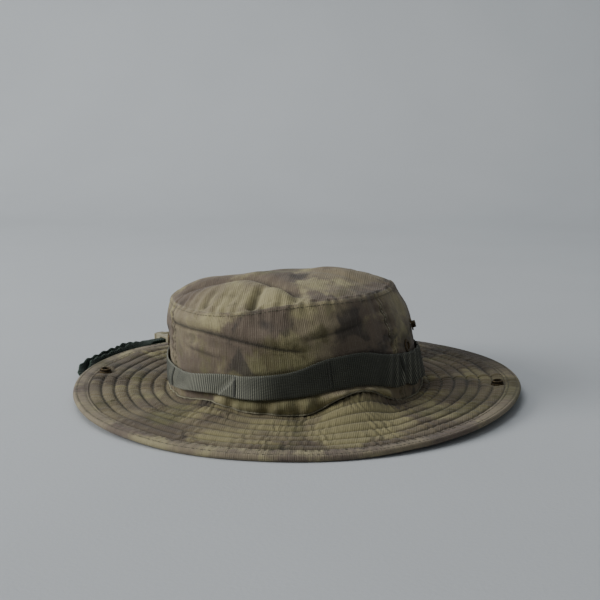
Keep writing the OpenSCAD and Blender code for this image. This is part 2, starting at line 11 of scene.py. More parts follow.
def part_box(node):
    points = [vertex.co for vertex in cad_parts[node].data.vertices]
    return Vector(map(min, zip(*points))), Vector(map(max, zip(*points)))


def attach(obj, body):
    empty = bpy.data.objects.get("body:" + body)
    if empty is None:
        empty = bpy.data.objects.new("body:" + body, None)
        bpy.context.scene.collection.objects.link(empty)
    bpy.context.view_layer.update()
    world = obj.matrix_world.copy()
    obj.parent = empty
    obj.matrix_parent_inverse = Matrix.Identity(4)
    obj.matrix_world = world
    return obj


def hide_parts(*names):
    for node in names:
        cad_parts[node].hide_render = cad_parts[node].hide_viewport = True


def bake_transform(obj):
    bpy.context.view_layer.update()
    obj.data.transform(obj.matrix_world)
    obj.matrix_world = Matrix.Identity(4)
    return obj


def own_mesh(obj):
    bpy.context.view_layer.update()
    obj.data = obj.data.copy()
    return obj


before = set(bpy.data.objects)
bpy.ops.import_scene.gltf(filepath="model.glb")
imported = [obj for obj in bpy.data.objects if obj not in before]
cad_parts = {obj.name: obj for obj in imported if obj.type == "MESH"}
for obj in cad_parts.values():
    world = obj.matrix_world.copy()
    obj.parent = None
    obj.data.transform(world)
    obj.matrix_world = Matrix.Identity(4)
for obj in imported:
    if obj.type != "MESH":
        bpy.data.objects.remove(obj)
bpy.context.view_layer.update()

# Everything below is worked out in millimetres and scaled once, when a mesh is made.
MM = 0.001

# Driving dimensions, as in the CAD part
BRIM_X, BRIM_Y = 164.0, 168.0
BRIM_T, BIND_T = 2.6, 0.8
FOLD_X, SIDE_LIFT, SIDE_TILT = 101.0, 2.6, math.tan(math.radians(3))
CROWN_X, CROWN_Y, CROWN_Z = 94.0, 97.0, 5.4
DRAW_X, DRAW_Y, LEAN = 0.105, 0.13, 7.5 / 69.6
SHOULDER_Z, SHOULDER_CURVE = 52.0, 0.008
WALL_T, SWEAT_H, WEB_T = 0.8, 24.0, 1.2
SOCKET_X = 148.5
VENT_Z, VENT_A = 41.0, 16.0
STUD_Z = {-1: 53.2, 1: 50.7}

# Cloth details
QUILT_FIRST, QUILT_STEP = 10.0, 9.3
PANEL_SEAMS = (-150.0, -30.0, 30.0, 150.0)
TACKS = [14 + 40 * k for k in range(9)]
RIB = 1.5
# Millimetres round the crown's wall for each degree
CROWN_RUN = 1.66


# ---- Small tools ----


def smooth(t):
    t = np.clip(t, 0, 1)
    return t * t * (3 - 2 * t)


def bell(x, at, wide):
    return np.exp(-(((x - at) / wide) ** 2))


def turned(a, at):
    """How far the angle a is from at, in degrees, from -180 to 180."""
    return (np.asarray(a, float) - at + 180) % 360 - 180


def noise(points, size, seed):
    """Smooth noise from -1 to 1 at the points, with lumps of that size."""
    p = np.asarray(points, float) / size
    cell = np.floor(p).astype(np.int64)
    f = p - cell
    f = f * f * (3 - 2 * f)
    total = 0
    for corner in range(8):
        d = np.array([corner & 1, corner >> 1 & 1, corner >> 2 & 1])
        c = cell + d
        h = c[..., 0] * 73856093 ^ c[..., 1] * 19349663 ^ c[..., 2] * 83492791 ^ seed * 2654435761
        h = (h ^ (h >> 13)) * 1274126177 & 0x7FFFFFFF
        h = (h ^ (h >> 15)) * 668265263 & 0x7FFFFFFF
        value = (h >> 7 & 0xFFFF) / 32767.5 - 1
        total = total + value * np.prod(np.where(d, f, 1 - f), axis=-1)
    return total


def lined(x, size, seed):
    """The same noise along a line."""
    return noise(spread(x, 0, 0), size, seed)


def between(x, low, high, rise, fall):
    """1 between low and high, and eased to 0 beyond them within that rise and fall."""
    return smooth((x - low) / rise) * smooth((high - x) / fall)


def spread(*parts):
    """Arrays spread to one shape and stacked as coordinates."""
    return np.stack(np.broadcast_arrays(*parts), -1)


def unit(vectors):
    return vectors / np.maximum(np.linalg.norm(vectors, axis=-1, keepdims=True), 1e-9)


def lengths(points):
    """The distance run along a line at each of its points."""
    return np.append(0, np.cumsum(np.linalg.norm(np.diff(points, axis=0), axis=1)))


def placed(name, data):
    obj = bpy.data.objects.new(name, data)
    bpy.context.scene.collection.objects.link(obj)
    return obj


def new_mesh(name, points, faces, uv=None, sharp=50):
    mesh = bpy.data.meshes.new(name)
    mesh.from_pydata((np.asarray(points) * MM).tolist(), [], faces)
    if uv is not None:
        layer = mesh.uv_layers.new(name="UVMap")
        index = np.zeros(len(mesh.loops), np.int32)
        mesh.loops.foreach_get("vertex_index", index)
        layer.data.foreach_set("uv", (np.asarray(uv)[index] * MM).astype(np.float32).ravel())
    bm = bmesh.new()
    bm.from_mesh(mesh)
    bmesh.ops.recalc_face_normals(bm, faces=bm.faces)
    bm.to_mesh(mesh)
    bm.free()
    mesh.polygons.foreach_set("use_smooth", np.ones(len(mesh.polygons), bool))
    if sharp:
        mesh.set_sharp_from_angle(angle=math.radians(sharp))
    return placed(name, mesh)


def quads(rows, cols, first=0, wrap=False):
    i, j = np.meshgrid(np.arange(rows - 1), np.arange(cols if wrap else cols - 1), indexing="ij")
    k = (j + 1) % cols
    row, after = i * cols, (i + 1) * cols
    return (first + np.stack([row + j, row + k, after + k, after + j], -1)).reshape(-1, 4)


def rim_strip(outer, inner):
    return np.stack([outer[:-1], outer[1:], inner[1:], inner[:-1]], -1)


def shell(name, outer, inner, uv, wrap=False, sharp=50, cap=False):
    """A closed sheet between two grids of points, rows by columns. With wrap its columns go right round,
    and with cap its last row is closed over."""
    rows, cols = outer.shape[:2]
    n = rows * cols
    grid = np.arange(n).reshape(rows, cols)
    around = np.append(np.arange(cols), 0) if wrap else np.arange(cols)
    faces = [quads(rows, cols, 0, wrap), quads(rows, cols, n, wrap)]
    faces += [rim_strip(grid[r][around], grid[r][around] + n) for r in ((0,) if cap else (0, rows - 1))]
    if not wrap:
        faces += [rim_strip(grid[:, c], grid[:, c] + n) for c in (0, cols - 1)]
    points = np.concatenate([outer.reshape(-1, 3), inner.reshape(-1, 3)])
    both = np.concatenate([uv.reshape(-1, 2)] * 2)
    faces = np.concatenate(faces).tolist()
    if cap:
        faces += [grid[-1].tolist(), (grid[-1] + n).tolist()]
    return new_mesh(name, points, faces, both, sharp)


def tube(name, rings, uv, sharp=50, closed=False):
    """A closed tube through rings of points. With closed its last ring meets its first."""
    if not closed:
        return tubes(name, [rings], [uv], sharp)
    count, sides = rings.shape[:2]
    last = (count - 1) * sides
    faces = quads(count, sides, 0, True).tolist()
    faces += [[last + k, last + (k + 1) % sides, (k + 1) % sides, k] for k in range(sides)]
    return new_mesh(name, rings.reshape(-1, 3), faces, uv.reshape(-1, 2), sharp)


def round_ring(centre, across, above, radius, sides):
    """A ring of points round each centre."""
    return np.stack([centre + radius * (across * math.cos(w) + above * math.sin(w)) for w in corners(sides)], 1)


def tubes(name, parts, uvs, sharp=0):
    """Tubes with closed ends in one mesh, each a grid of rings by sides."""
    faces, first = [], 0
    for rings in parts:
        count, sides = rings.shape[:2]
        faces += quads(count, sides, first, True).tolist()
        last = first + (count - 1) * sides
        faces += [list(range(first, first + sides)), list(range(last, last + sides))]
        first = last + sides
    points, uv = (np.concatenate([g.reshape(-1, g.shape[-1]) for g in grids]) for grids in (parts, uvs))
    return new_mesh(name, points, faces, uv, sharp)


# ---- Camera ----

LENS, DISTANCE = 66.0, 830.5
AZIMUTH, ELEVATION, AIM_UP, AIM_RIGHT, ROLL = (math.radians(v) for v in (8, 15.54, 4.56, 0.19, -0.3))


def make_camera():
    a, e = AZIMUTH, ELEVATION
    place = Vector((math.sin(a) * math.cos(e), -math.cos(a) * math.cos(e), math.sin(e)))
    right = Vector((math.cos(a), math.sin(a), 0))
    ahead = -place
    ahead = ahead * math.cos(AIM_UP) + right.cross(ahead) * math.sin(AIM_UP)
    up = right.cross(ahead)
    ahead = ahead * math.cos(AIM_RIGHT) + right * math.sin(AIM_RIGHT)
    right = ahead.cross(up)
    right, up = (
        right * math.cos(ROLL) + up * math.sin(ROLL),
        up * math.cos(ROLL) - right * math.sin(ROLL),
    )
    data = bpy.data.cameras.new("camera")
    data.lens, data.sensor_width = LENS, 36
    data.clip_start, data.clip_end = 0.05, 20
    camera = placed("camera", data)
    turn = Matrix((right, up, -ahead)).transposed().to_4x4()
    camera.matrix_world = Matrix.Translation(place * DISTANCE * MM) @ turn
    bpy.context.scene.camera = camera


make_camera()

# ---- Materials ----


class Nodes:
    """A material's node tree, with short calls for the nodes used here."""

    def __init__(self, name):
        self.material = bpy.data.materials.new(name)
        self.material.use_nodes = True
        self.tree = self.material.node_tree
        self.tree.nodes.clear()
        self.shader = self.tree.nodes.new("ShaderNodeBsdfPrincipled")
        surface = self.tree.nodes.new("ShaderNodeOutputMaterial").inputs["Surface"]
        self.put(surface, self.shader.outputs[0])

    def put(self, socket, value):
        """Links an output into the socket, or sets the socket to a value or a colour."""
        if isinstance(value, bpy.types.NodeSocket):
            self.tree.links.new(value, socket)
        else:
            socket.default_value = (*value, 1) if socket.type == "RGBA" else value

    def node(self, kind, inputs, output=0, **settings):
        """The output of a new node with those inputs and settings."""
        node = self.tree.nodes.new(kind)
        for key, value in settings.items():
            setattr(node, key, value)
        for key, value in inputs.items():
            self.put(node.inputs[key], value)
        return node.outputs[output]

    def place(self, shift=(0, 0, 0), turn=0.0, stretch=(1, 1, 1), uv=True):
        source = self.node("ShaderNodeTexCoord", {}, "UV" if uv else "Object")
        turn = (0, 0, math.radians(turn))
        inputs = {"Vector": source, "Location": shift, "Rotation": turn, "Scale": stretch}
        return self.node("ShaderNodeMapping", inputs)

    def noise(self, where, scale, detail=3.0, rough=0.55, distort=0.0):
        inputs = {"Vector": where, "Scale": scale, "Detail": detail, "Roughness": rough, "Distortion": distort}
        return self.node("ShaderNodeTexNoise", inputs, "Fac")

    def wave(self, where, pitch, axis="X", distort=0.0):
        """Stripes that far apart, in metres, from 0 to 1."""
        inputs = {"Vector": where, "Scale": math.pi / 10 / pitch, "Distortion": distort}
        return self.node("ShaderNodeTexWave", inputs, "Fac", bands_direction=axis)

    def math(self, kind, a, b=0.0, clamp=False):
        return self.node("ShaderNodeMath", {0: a, 1: b}, operation=kind, use_clamp=clamp)

    def times(self, a, b, clamp=False):
        return self.math("MULTIPLY", a, b, clamp)

    def step(self, value, low, high):
        """0 below low, 1 above high and smooth in between."""
        inputs = {"Value": value, "From Min": low, "From Max": high}
        return self.node("ShaderNodeMapRange", inputs, "Result", interpolation_type="SMOOTHSTEP")

    def grey(self, value, dark, light):
        """A grey from dark to light, to multiply a colour with."""
        return self.node("ShaderNodeMapRange", {"Value": value, "To Min": dark, "To Max": light}, "Result")

    def mix(self, share, a, b, kind="MIX"):
        return self.node("ShaderNodeMix", {0: share, 6: a, 7: b}, 2, data_type="RGBA", blend_type=kind)

    def shade(self, colour, by):
        """The colour multiplied by a grey or another colour."""
        return self.mix(1.0, colour, by, "MULTIPLY")

    def pointed(self):
        return self.node("ShaderNodeNewGeometry", {}, "Pointiness")

    def attribute(self, name):
        return self.node("ShaderNodeAttribute", {}, "Fac", attribute_name=name)

    def bump(self, *layers):
        """Layers of (height, distance in millimetres)."""
        below = {}
        for height, distance in layers:
            inputs = {"Distance": distance * MM, "Height": height, **below}
            below = {"Normal": self.node("ShaderNodeBump", inputs)}
        self.put(self.shader.inputs["Normal"], below["Normal"])

    def finish(self, colour, rough, metal=0.0, sheen=0.0):
        inputs = {"Base Color": colour, "Roughness": rough, "Metallic": metal}
        for key, value in {**inputs, "Sheen Weight": sheen, "Sheen Roughness": 0.5}.items():
            self.put(self.shader.inputs[key], value)
        return self.material


KHAKI, SAND, TAUPE = (0.33, 0.29, 0.165), (0.235, 0.195, 0.130), (0.135, 0.104, 0.080)
UMBER, OLIVE, MOSS = (0.048, 0.040, 0.036), (0.088, 0.076, 0.033), (0.155, 0.145, 0.070)

# Where a colour of the print gathers: across, up, half sizes and strength. These are in millimetres, but across
# the crown's wall they are in degrees
CROWN_TONES = {
    "light": [
        (-124, 66, 12, 9, 1.1), (-86, 52, 9, 8, 1.0), (-73, 76, 6, 6, 1.0),
        (-12, 66, 13, 16, 0.8), (-140, 40, 9, 9, 0.3), (-78, 14, 34, 9, 2.2),
    ],
    "dark": [
        (-94, 67, 9, 7, 1.2), (-104, 47, 8, 12, 1.0), (-46, 54, 13, 24, 1.1),
        (-155, 60, 10, 10, 0.8), (-128, 10, 10, 6, 0.7),
    ],
    "olive": [(-66, 62, 8, 12, 1.2), (-57, 40, 10, 8, 0.6), (-16, 48, 10, 10, 0.5)],
}
TOP_TONES = {
    "light": [(-46, -66, 20, 14, 1.5), (-2, -74, 20, 12, 1.5), (28, -45, 26, 16, 0.7), (20, 0, 30, 18, 0.6)],
    "dark": [(-72, -48, 16, 16, 0.9), (0, -24, 10, 9, 1.0), (62, -32, 14, 24, 1.1), (-30, 22, 12, 10, 0.8)],
    "olive": [(-60, 20, 22, 20, 0.8), (-6, -60, 9, 8, 0.6)],
}
BRIM_TONES = {
    "light": [
        (-122, -46, 20, 18, 0.6), (36, -114, 44, 22, 1.2), (56, -92, 26, 14, 2.2),
        (-20, -128, 34, 14, 0.8), (124, -56, 22, 22, 0.5), (-110, 50, 20, 24, 0.4),
    ],
    # The dark at the back right, (112, 100), is partly print and partly painted shade on the edge there
    "dark": [
        (-44, -118, 10, 14, 0.9), (-4, -126, 5, 9, 0.9), (112, 4, 22, 14, 0.9), (112, 100, 60, 26, 1.3),
        (-128, 26, 26, 20, 0.9), (-80, -78, 14, 9, 0.7), (-140, -24, 16, 20, 0.5),
    ],
    "olive": [
        (-72, -104, 26, 20, 1.0), (84, -80, 26, 20, 0.8), (130, -30, 16, 30, 0.6),
        (-20, -112, 20, 10, 0.7), (-122, -4, 20, 22, 0.7),
    ],
}
BINDING_TONES = {
    "light": [(-30, -160, 110, 14, 0.5)],
    # The dark at the back right, (120, 104), is partly print and partly painted shade on the edge there
    "dark": [(120, 104, 60, 40, 1.8), (110, -118, 50, 20, 0.7)],
    "olive": [(164, -10, 20, 50, 1.0), (-160, 30, 20, 30, 0.5)],
}
PLAIN = {"light": [], "dark": [], "olive": []}


def camouflage(name, shift, shade_and_tone=1.0, soft=1.0, fine=0.75, blue=0.95):
    """Soft, blotchy camouflage on a fine weave. Attributes of the mesh gather its colours, and one of them
    paints shade into its hollows.
    """
    n = Nodes("camouflage_" + name)
    cloth = n.place(shift)
    light, dark, olive = (n.attribute(tone) for tone in ("light", "dark", "olive"))
    ragged = n.times(n.math("SUBTRACT", n.noise(cloth, 170, 4, 0.6), 0.5), 0.22)
    pull = n.times(n.math("SUBTRACT", light, dark), 0.15)

    def mask(scale, low, high, more, at=(0, 0, 0), stretch=(1, 1, 1)):
        where = n.place((shift[0] + at[0], shift[1] + at[1], 0), stretch=stretch)
        value = n.math("ADD", n.math("ADD", n.noise(where, scale, 3, 0.5, 0.6), ragged), more)
        return n.step(value, low, high)

    colour = n.mix(mask(18, 0.42, 0.62, pull), TAUPE, SAND)
    colour = n.mix(mask(26, 0.52, 0.68, pull, (3, 0, 0)), colour, KHAKI)
    greens = n.mix(n.step(n.noise(cloth, 60, 3), 0.40, 0.62), OLIVE, MOSS)
    green = mask(14, 0.56, 0.70, n.times(olive, 0.2), (0, 5, 0))
    colour = n.mix(n.times(green, 0.85), colour, greens)
    pull = n.times(n.math("SUBTRACT", dark, n.times(light, 0.5)), 0.17)
    spots = mask(33, 0.60, 0.72, pull, (7, 2, 0), (1, 1.3, 1))
    colour = n.mix(n.times(spots, 0.78 * soft), colour, UMBER)
    warp, weft = n.wave(cloth, 0.0014, "X", 0.5), n.wave(cloth, 0.0011, "Y", 0.5)
    weave = n.times(warp, n.grey(weft, 0.6, 1.0))
    upright, level = (n.wave(cloth, 0.0052, axis, 0.3) for axis in "XY")
    rip = n.math("MAXIMUM", n.step(upright, 0.90, 0.99), n.times(n.step(level, 0.92, 0.99), 0.4))
    slub = n.noise(n.place(shift, stretch=(1, 0.1, 1)), 900, 2, 0.6)
    colour = n.shade(colour, n.grey(slub, 1 - 0.22 * fine, 1 + 0.18 * fine))
    colour = n.shade(colour, n.grey(weave, 1 - 0.06 * fine, 1 + 0.05 * fine))
    colour = n.mix(n.times(rip, 0.07 * fine), colour, (0.40, 0.37, 0.28))
    worn = n.times(n.step(n.pointed(), 0.515, 0.57), n.grey(n.noise(cloth, 400, 2), 0.05, 0.42))
    colour = n.mix(worn, colour, (0.36, 0.33, 0.24))
    # Painted shade: the cloth darkens where the mesh is concave, in creases and along seams
    crease_shade = n.step(n.pointed(), 0.487, 0.435)
    colour = n.mix(n.times(crease_shade, 0.55), colour, (0.030, 0.028, 0.020))
    # A whole piece made darker: painted shade on the brim, the top and the right side, and a slightly darker
    # binding
    colour = n.shade(colour, (shade_and_tone, shade_and_tone, shade_and_tone * blue))
    # Painted shade: the cloth darkens towards near black where an attribute of the mesh marks hollows, seams
    # and shaded edges
    colour = n.mix(n.times(n.attribute("hollow_shade"), 0.85, clamp=True), colour, (0.016, 0.015, 0.011))
    wrinkled = n.noise(cloth, 120, 5, 0.6, 0.3)
    n.bump((wrinkled, 0.8), (weave, 0.14), (rip, 0.08))
    return n.finish(colour, n.grey(weave, 0.97, 0.88), sheen=0.08)


def tinted(colour, share):
    return tuple(c * share for c in colour)


def hollows(relief, wrap=False):
    """How deep each point of a grid lies below the cloth around it, from 0 to 1."""
    r = np.pad(relief, ((4, 4), (0, 0)), mode="edge")
    r = np.pad(r, ((0, 0), (4, 4)), mode="wrap" if wrap else "edge")
    rows, cols = relief.shape
    near = 0
    for i, j in ((2, 0), (0, 2), (4, 0), (0, 4), (3, 3), (3, -3)):
        for u, v in ((4 + i, 4 + j), (4 - i, 4 - j)):
            near = near + r[u : u + rows, v : v + cols] / 12
    return np.clip(near - relief, 0, 1)


def paint(obj, name, value):
    layer = obj.data.attributes.new(name, "FLOAT", "POINT")
    layer.data.foreach_set("value", np.asarray(value).ravel().astype(np.float32))


def tint(obj, points, tones):
    """Writes where each colour gathers to the mesh. points are (across, up) for each vertex."""
    for tone, places in tones.items():
        value = np.zeros(len(points))
        for u, v, wide, tall, strength in places:
            across, up = (points[:, 0] - u) / wide, (points[:, 1] - v) / tall
            value = value + strength * np.exp(-(across**2) - up**2)
        paint(obj, tone, value)


def webbing():
    n = Nodes("webbing")
    tape = n.place()
    ribs = n.wave(tape, RIB * MM, "X")
    picks = n.wave(n.place(turn=14), 0.0012, "Y", 0.8)
    # Lighter where the webbing is faded, and painted highlights on the folds that stand proud
    worn = n.attribute("fade_and_highlight")
    colour = n.mix(n.step(n.noise(tape, 60, 4), 0.35, 0.7), (0.037, 0.041, 0.031), (0.054, 0.058, 0.043))
    ridge = n.times(n.step(ribs, 0.45, 0.95), n.grey(n.noise(tape, 700, 2), 0.6, 1.1))
    colour = n.mix(n.times(worn, n.times(ridge, n.grey(picks, 0.7, 1.1))), colour, (0.34, 0.335, 0.26))
    colour = n.mix(n.times(worn, 0.30), colour, (0.16, 0.165, 0.125))
    colour = n.shade(colour, n.grey(ribs, 0.55, 1.30))
    colour = n.mix(n.times(n.step(n.pointed(), 0.52, 0.60), 0.45), colour, (0.17, 0.175, 0.135))
    n.bump((ribs, 0.3), (picks, 0.16))
    return n.finish(colour, n.grey(ribs, 0.85, 0.62), sheen=0.08)


def twill(name, colour, pitch=0.0012, rough=0.9):
    """Plain cotton with a fine diagonal rib."""
    n = Nodes(name)
    cloth = n.place()
    rib = n.wave(n.place(turn=35), pitch, "X", 0.5)
    mottled = n.mix(n.step(n.noise(cloth, 70, 4), 0.3, 0.75), tinted(colour, 0.8), tinted(colour, 1.15))
    shade = n.shade(mottled, n.grey(rib, 0.84, 1.10))
    n.bump((n.noise(cloth, 150, 4), 0.5), (rib, 0.18))
    return n.finish(shade, rough, sheen=0.1)


def braid():
    n = Nodes("braid")
    plait = n.math("ADD", *(n.wave(n.place(turn=turn), 0.0021, "X", 0.2) for turn in (38, -38)))
    colour = n.mix(n.step(plait, 0.5, 1.7), (0.005, 0.015, 0.009), (0.018, 0.046, 0.027))
    fuzz = n.noise(n.place(), 500, 3, 0.7)
    colour = n.mix(n.step(fuzz, 0.56, 0.78), colour, (0.030, 0.062, 0.038))
    colour = n.mix(n.times(n.step(n.pointed(), 0.51, 0.56), 0.5), colour, (0.035, 0.075, 0.045))
    n.bump((plait, 0.7), (fuzz, 0.2))
    return n.finish(colour, n.grey(plait, 0.9, 0.7), sheen=0.05)


def thread(name, colour):
    n = Nodes(name)
    ply = n.wave(n.place(turn=40), 0.0007, "X")
    n.bump((ply, 0.15))
    return n.finish(n.mix(ply, tinted(colour, 0.6), colour), 0.65, sheen=0.1)


def metal(name, colour, bare, rough, coat=0.35):
    """Metal whose finish has worn through on its edges."""
    n = Nodes(name)
    where = n.place(uv=False)
    scuffs = n.noise(where, 900, 4, 0.7)
    edge = n.times(n.step(n.pointed(), 0.50, 0.58), n.step(scuffs, 0.35, 0.65))
    spots = n.step(n.noise(where, 300, 5, 0.65), 0.55, 0.72)
    shade = n.mix(n.times(spots, 0.5), colour, tinted(colour, 0.45))
    n.bump((scuffs, 0.06))
    return n.finish(n.mix(edge, shade, bare), n.grey(scuffs, rough, rough + coat), metal=0.85)


def plastic(name, colour):
    n = Nodes(name)
    where = n.place(uv=False)
    grain = n.noise(where, 1400, 3, 0.6)
    shade = n.mix(n.step(n.noise(where, 150, 4), 0.35, 0.7), tinted(colour, 0.82), colour)
    shade = n.mix(n.times(n.step(n.pointed(), 0.52, 0.60), 0.5), shade, tinted(colour, 1.35))
    n.bump((grain, 0.08))
    return n.finish(shade, n.grey(grain, 0.42, 0.62))


M = {
    # The brim, the top and the right panel are darker copies of the same cloth, as painted shade
    "crown_front": camouflage("crown_front", (0.13, 0.37, 0)),
    "crown_back": camouflage("crown_back", (1.71, 0.52, 0)),
    "crown_left": camouflage("crown_left", (2.93, 1.15, 0)),
    "crown_right": camouflage("crown_right", (4.21, 0.83, 0), shade_and_tone=0.92),
    "crown_top": camouflage("crown_top", (5.37, 2.05, 0), shade_and_tone=0.94),
    "brim": camouflage("brim", (7.45, 3.31, 0), shade_and_tone=0.71, soft=0.85, fine=0.6, blue=0.86),
    "binding": camouflage("binding", (9.62, 4.72, 0), shade_and_tone=0.92, soft=0.4, fine=0.5, blue=1.0),
    "webbing": webbing(),
    "cotton": twill("olive_twill", (0.15, 0.155, 0.10)),
    "edge_cord": twill("rolled_edge", (0.30, 0.28, 0.19), 0.0009),
    "tape": twill("seam_tape", (0.13, 0.135, 0.09), 0.0009),
    "braid": braid(),
    "thread": thread("olive_thread", (0.13, 0.12, 0.075)),
    "crown_thread": thread("sand_thread", (0.17, 0.155, 0.095)),
    "light_thread": thread("khaki_thread", (0.42, 0.39, 0.29)),
    "tack_thread": thread("dark_thread", (0.045, 0.048, 0.035)),
    "brass": metal("blackened_brass", (0.035, 0.027, 0.017), (0.20, 0.145, 0.075), 0.42),
    "steel": metal("plated_steel", (0.42, 0.42, 0.41), (0.7, 0.7, 0.7), 0.28),
    "spring": metal("spring_steel", (0.5, 0.5, 0.5), (0.7, 0.7, 0.7), 0.2),
    "lock": plastic("lock_plastic", (0.33, 0.30, 0.20)),
}


def dress(obj, material, slot, body, *nodes):
    """Gives a piece its material, the body that it rides on and the CAD nodes that it stands for. Its slot is
    not used.
    """
    obj.data.materials.clear()
    obj.data.materials.append(M[material])
    if body:
        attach(obj, body)
    if nodes:
        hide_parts(*nodes)
    return obj


# ---- The chin strap: a flat braid laid along the CAD part's route ----

# x, y, z in millimetres and the braid's turn about its own length in degrees, as in the CAD part
STRAP_ROUTE = [
    (-81, 7, 1.2, 0), (-100, 7, 1.2, 0), (-120, 7, 1.3, 0), (-138, 7, 1.4, 0), (-153, 8, 1.6, 0),
    (-163, 15, 2.6, -16), (-167.5, 28, 4.7, -62), (-167, 42, 4.9, -88), (-163, 58, 4.9, -96),
    (-158, 73, 4.9, -84), (-154, 89, 4.9, -70), (-149, 104, 4.9, -34), (-143.5, 118.5, 4.9, 0),
    (-131, 131, 4.9, 0), (-114, 148, 4.9, 0), (-97, 165, 4.9, 0), (-84, 180, 3.8, 0), (-70, 194, 2.2, 0),
    (-52, 202, 1.4, 0), (-35, 198, 1.2, 0), (-27, 185, 1.2, 0), (-36, 175, 1.2, 0), (-54, 173, 1.3, 0),
    (-73, 173, 1.9, 0), (-88, 171, 2.5, 0), (-97, 165, 2.7, 0), (-114, 148, 2.7, 0), (-131, 131, 2.7, 0),
    (-143.5, 118.5, 2.7, 0), (-152, 106, 3.4, 30), (-161, 90, 4.8, 70), (-164, 73, 5.0, 82),
    (-170, 57, 5.0, 98), (-172, 41, 5.0, 84), (-174, 25, 4.9, 84), (-171, 11, 4.0, 40),
    (-164, 1, 2.1, 10), (-153, -5, 1.6, 0), (-138, -7, 1.4, 0), (-120, -7, 1.3, 0), (-100, -7, 1.2, 0),
    (-60, -8, 1.2, 0), (-20, -10, 1.2, 0), (20, -10, 1.2, 0), (60, -8, 1.2, 0), (81, -7, 1.2, 0),
]
STRAP_W, STRAP_T, STRAP_STEP = 9.0, 2.0, 2.5


def eased(route, gap):
    """Points that far apart on a smooth curve through the route."""
    r = np.array([route[0], *route, route[-1]], float)
    out = []
    for k in range(1, len(r) - 2):
        p0, p1, p2, p3 = r[k - 1 : k + 3]
        count = max(1, round(np.linalg.norm(p2[:3] - p1[:3]) / gap))
        for i in range(count):
            t = i / count
            square, cube = 2 * p0 - 5 * p1 + 4 * p2 - p3, 3 * p1 - p0 - 3 * p2 + p3
            out.append(0.5 * (2 * p1 + (p2 - p0) * t + square * t**2 + cube * t**3))
    return np.array([*out, r[-1]])


def corners(count):
    return np.linspace(0, 2 * np.pi, count, endpoint=False)


def flat_section(width, thick):
    """A flat tape's section: a rounded oblong, as (across, up) pairs."""
    c, s = np.cos(corners(18)), np.sin(corners(18))
    return spread(np.sign(c) * np.abs(c) ** 0.35 * width / 2, np.sign(s) * np.abs(s) ** 0.6 * thick / 2)


# The cord lock's frame: its strands run along x and its button along -y
LOCK_AT, LOCK_TURN = np.array([-131.0, 131.0, 0.2]), math.radians(225)
SPRING_FROM, SPRING_TO, SPRING_Z, SPRING_R, WIRE_R, PRESS = 6.25, 9.05, 3.6, 2.3, 0.25, 2.5


def at_lock(points):
    p = np.asarray(points, float)
    c, s = math.cos(LOCK_TURN), math.sin(LOCK_TURN)
    return spread(c * p[..., 0] - s * p[..., 1], s * p[..., 0] + c * p[..., 1], p[..., 2]) + LOCK_AT


def moulded(name, node, edge):
    """A moulded piece with the CAD part's form and softened edges."""
    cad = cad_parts[node]
    mesh = cad.data.copy()
    bm = bmesh.new()
    bm.from_mesh(mesh)
    bm.transform(cad.matrix_world)
    bmesh.ops.remove_doubles(bm, verts=bm.verts, dist=1e-6)
    bmesh.ops.dissolve_limit(bm, angle_limit=math.radians(1), verts=bm.verts, edges=bm.edges)
    sharp = [e for e in bm.edges if len(e.link_faces) == 2 and e.calc_face_angle() > math.radians(35)]
    softly = {"segments": 3, "profile": 0.6, "affect": "EDGES", "clamp_overlap": True}
    bmesh.ops.bevel(bm, geom=sharp, offset=edge * MM, **softly)
    bm.to_mesh(mesh)
    bm.free()
    mesh.polygons.foreach_set("use_smooth", np.ones(len(mesh.polygons), bool))
    mesh.set_sharp_from_angle(angle=math.radians(40))
    return placed(name, mesh)


def ribs(name, places, length, wide, high):
    """Rounded grip ribs across the lock, centred at those (y, z)."""
    ring = corners(12)
    ends = np.array([(-0.5, 0.3), (-0.47, 0.8), (-0.42, 1), (0.42, 1), (0.47, 0.8), (0.5, 0.3)])
    at, size = ends[:, :1], ends[:, 1:]
    wide, high = np.cos(ring) * wide / 2 * size, np.sin(ring) * high * size
    rings = [at_lock(spread(at * length, y + wide, z + high)) for y, z in places]
    return tubes(name, rings, [r[..., :2] for r in rings], 50)


def make_lock():
    barrel = moulded("cord_lock_shell", "cord_lock_barrel", 0.7)
    button = moulded("cord_lock_button", "cord_lock_plunger", 0.4)
    grips = ribs("cord_lock_grip", [(y, 7.95) for y in (-9.2, -7.5, -5.8, 5.8, 7.5, 9.2)], 9.5, 0.9, 0.6)
    pads = ribs("cord_lock_button_grip", [(y, 6.5) for y in (-18.4, -17.1, -15.8)], 7.4, 0.7, 0.6)
    dress(barrel, "lock", "lock_plastic", "cord_lock", "cord_lock_barrel")
    dress(button, "lock", "lock_plastic", "lock_button", "cord_lock_plunger")
    dress(grips, "lock", "lock_plastic", "cord_lock")
    dress(pads, "lock", "lock_plastic", "lock_button")
    turns = np.linspace(0, 4 * 2 * np.pi, 97)[:, None]
    y = SPRING_FROM + (SPRING_TO - SPRING_FROM) * turns / turns[-1]
    ring = corners(8)[None, :]
    r = SPRING_R + WIRE_R * np.cos(ring)
    coil = spread(r * np.cos(turns), y + WIRE_R * np.sin(ring), SPRING_Z + r * np.sin(turns))
    uv = spread(turns * SPRING_R, ring * WIRE_R)
    spring = tube("cord_lock_coil_spring", at_lock(coil), uv)
    dress(spring, "spring", "spring_steel", "cord_lock", "cord_lock_spring")
    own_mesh(spring)
    return [barrel, button, grips, pads, spring]


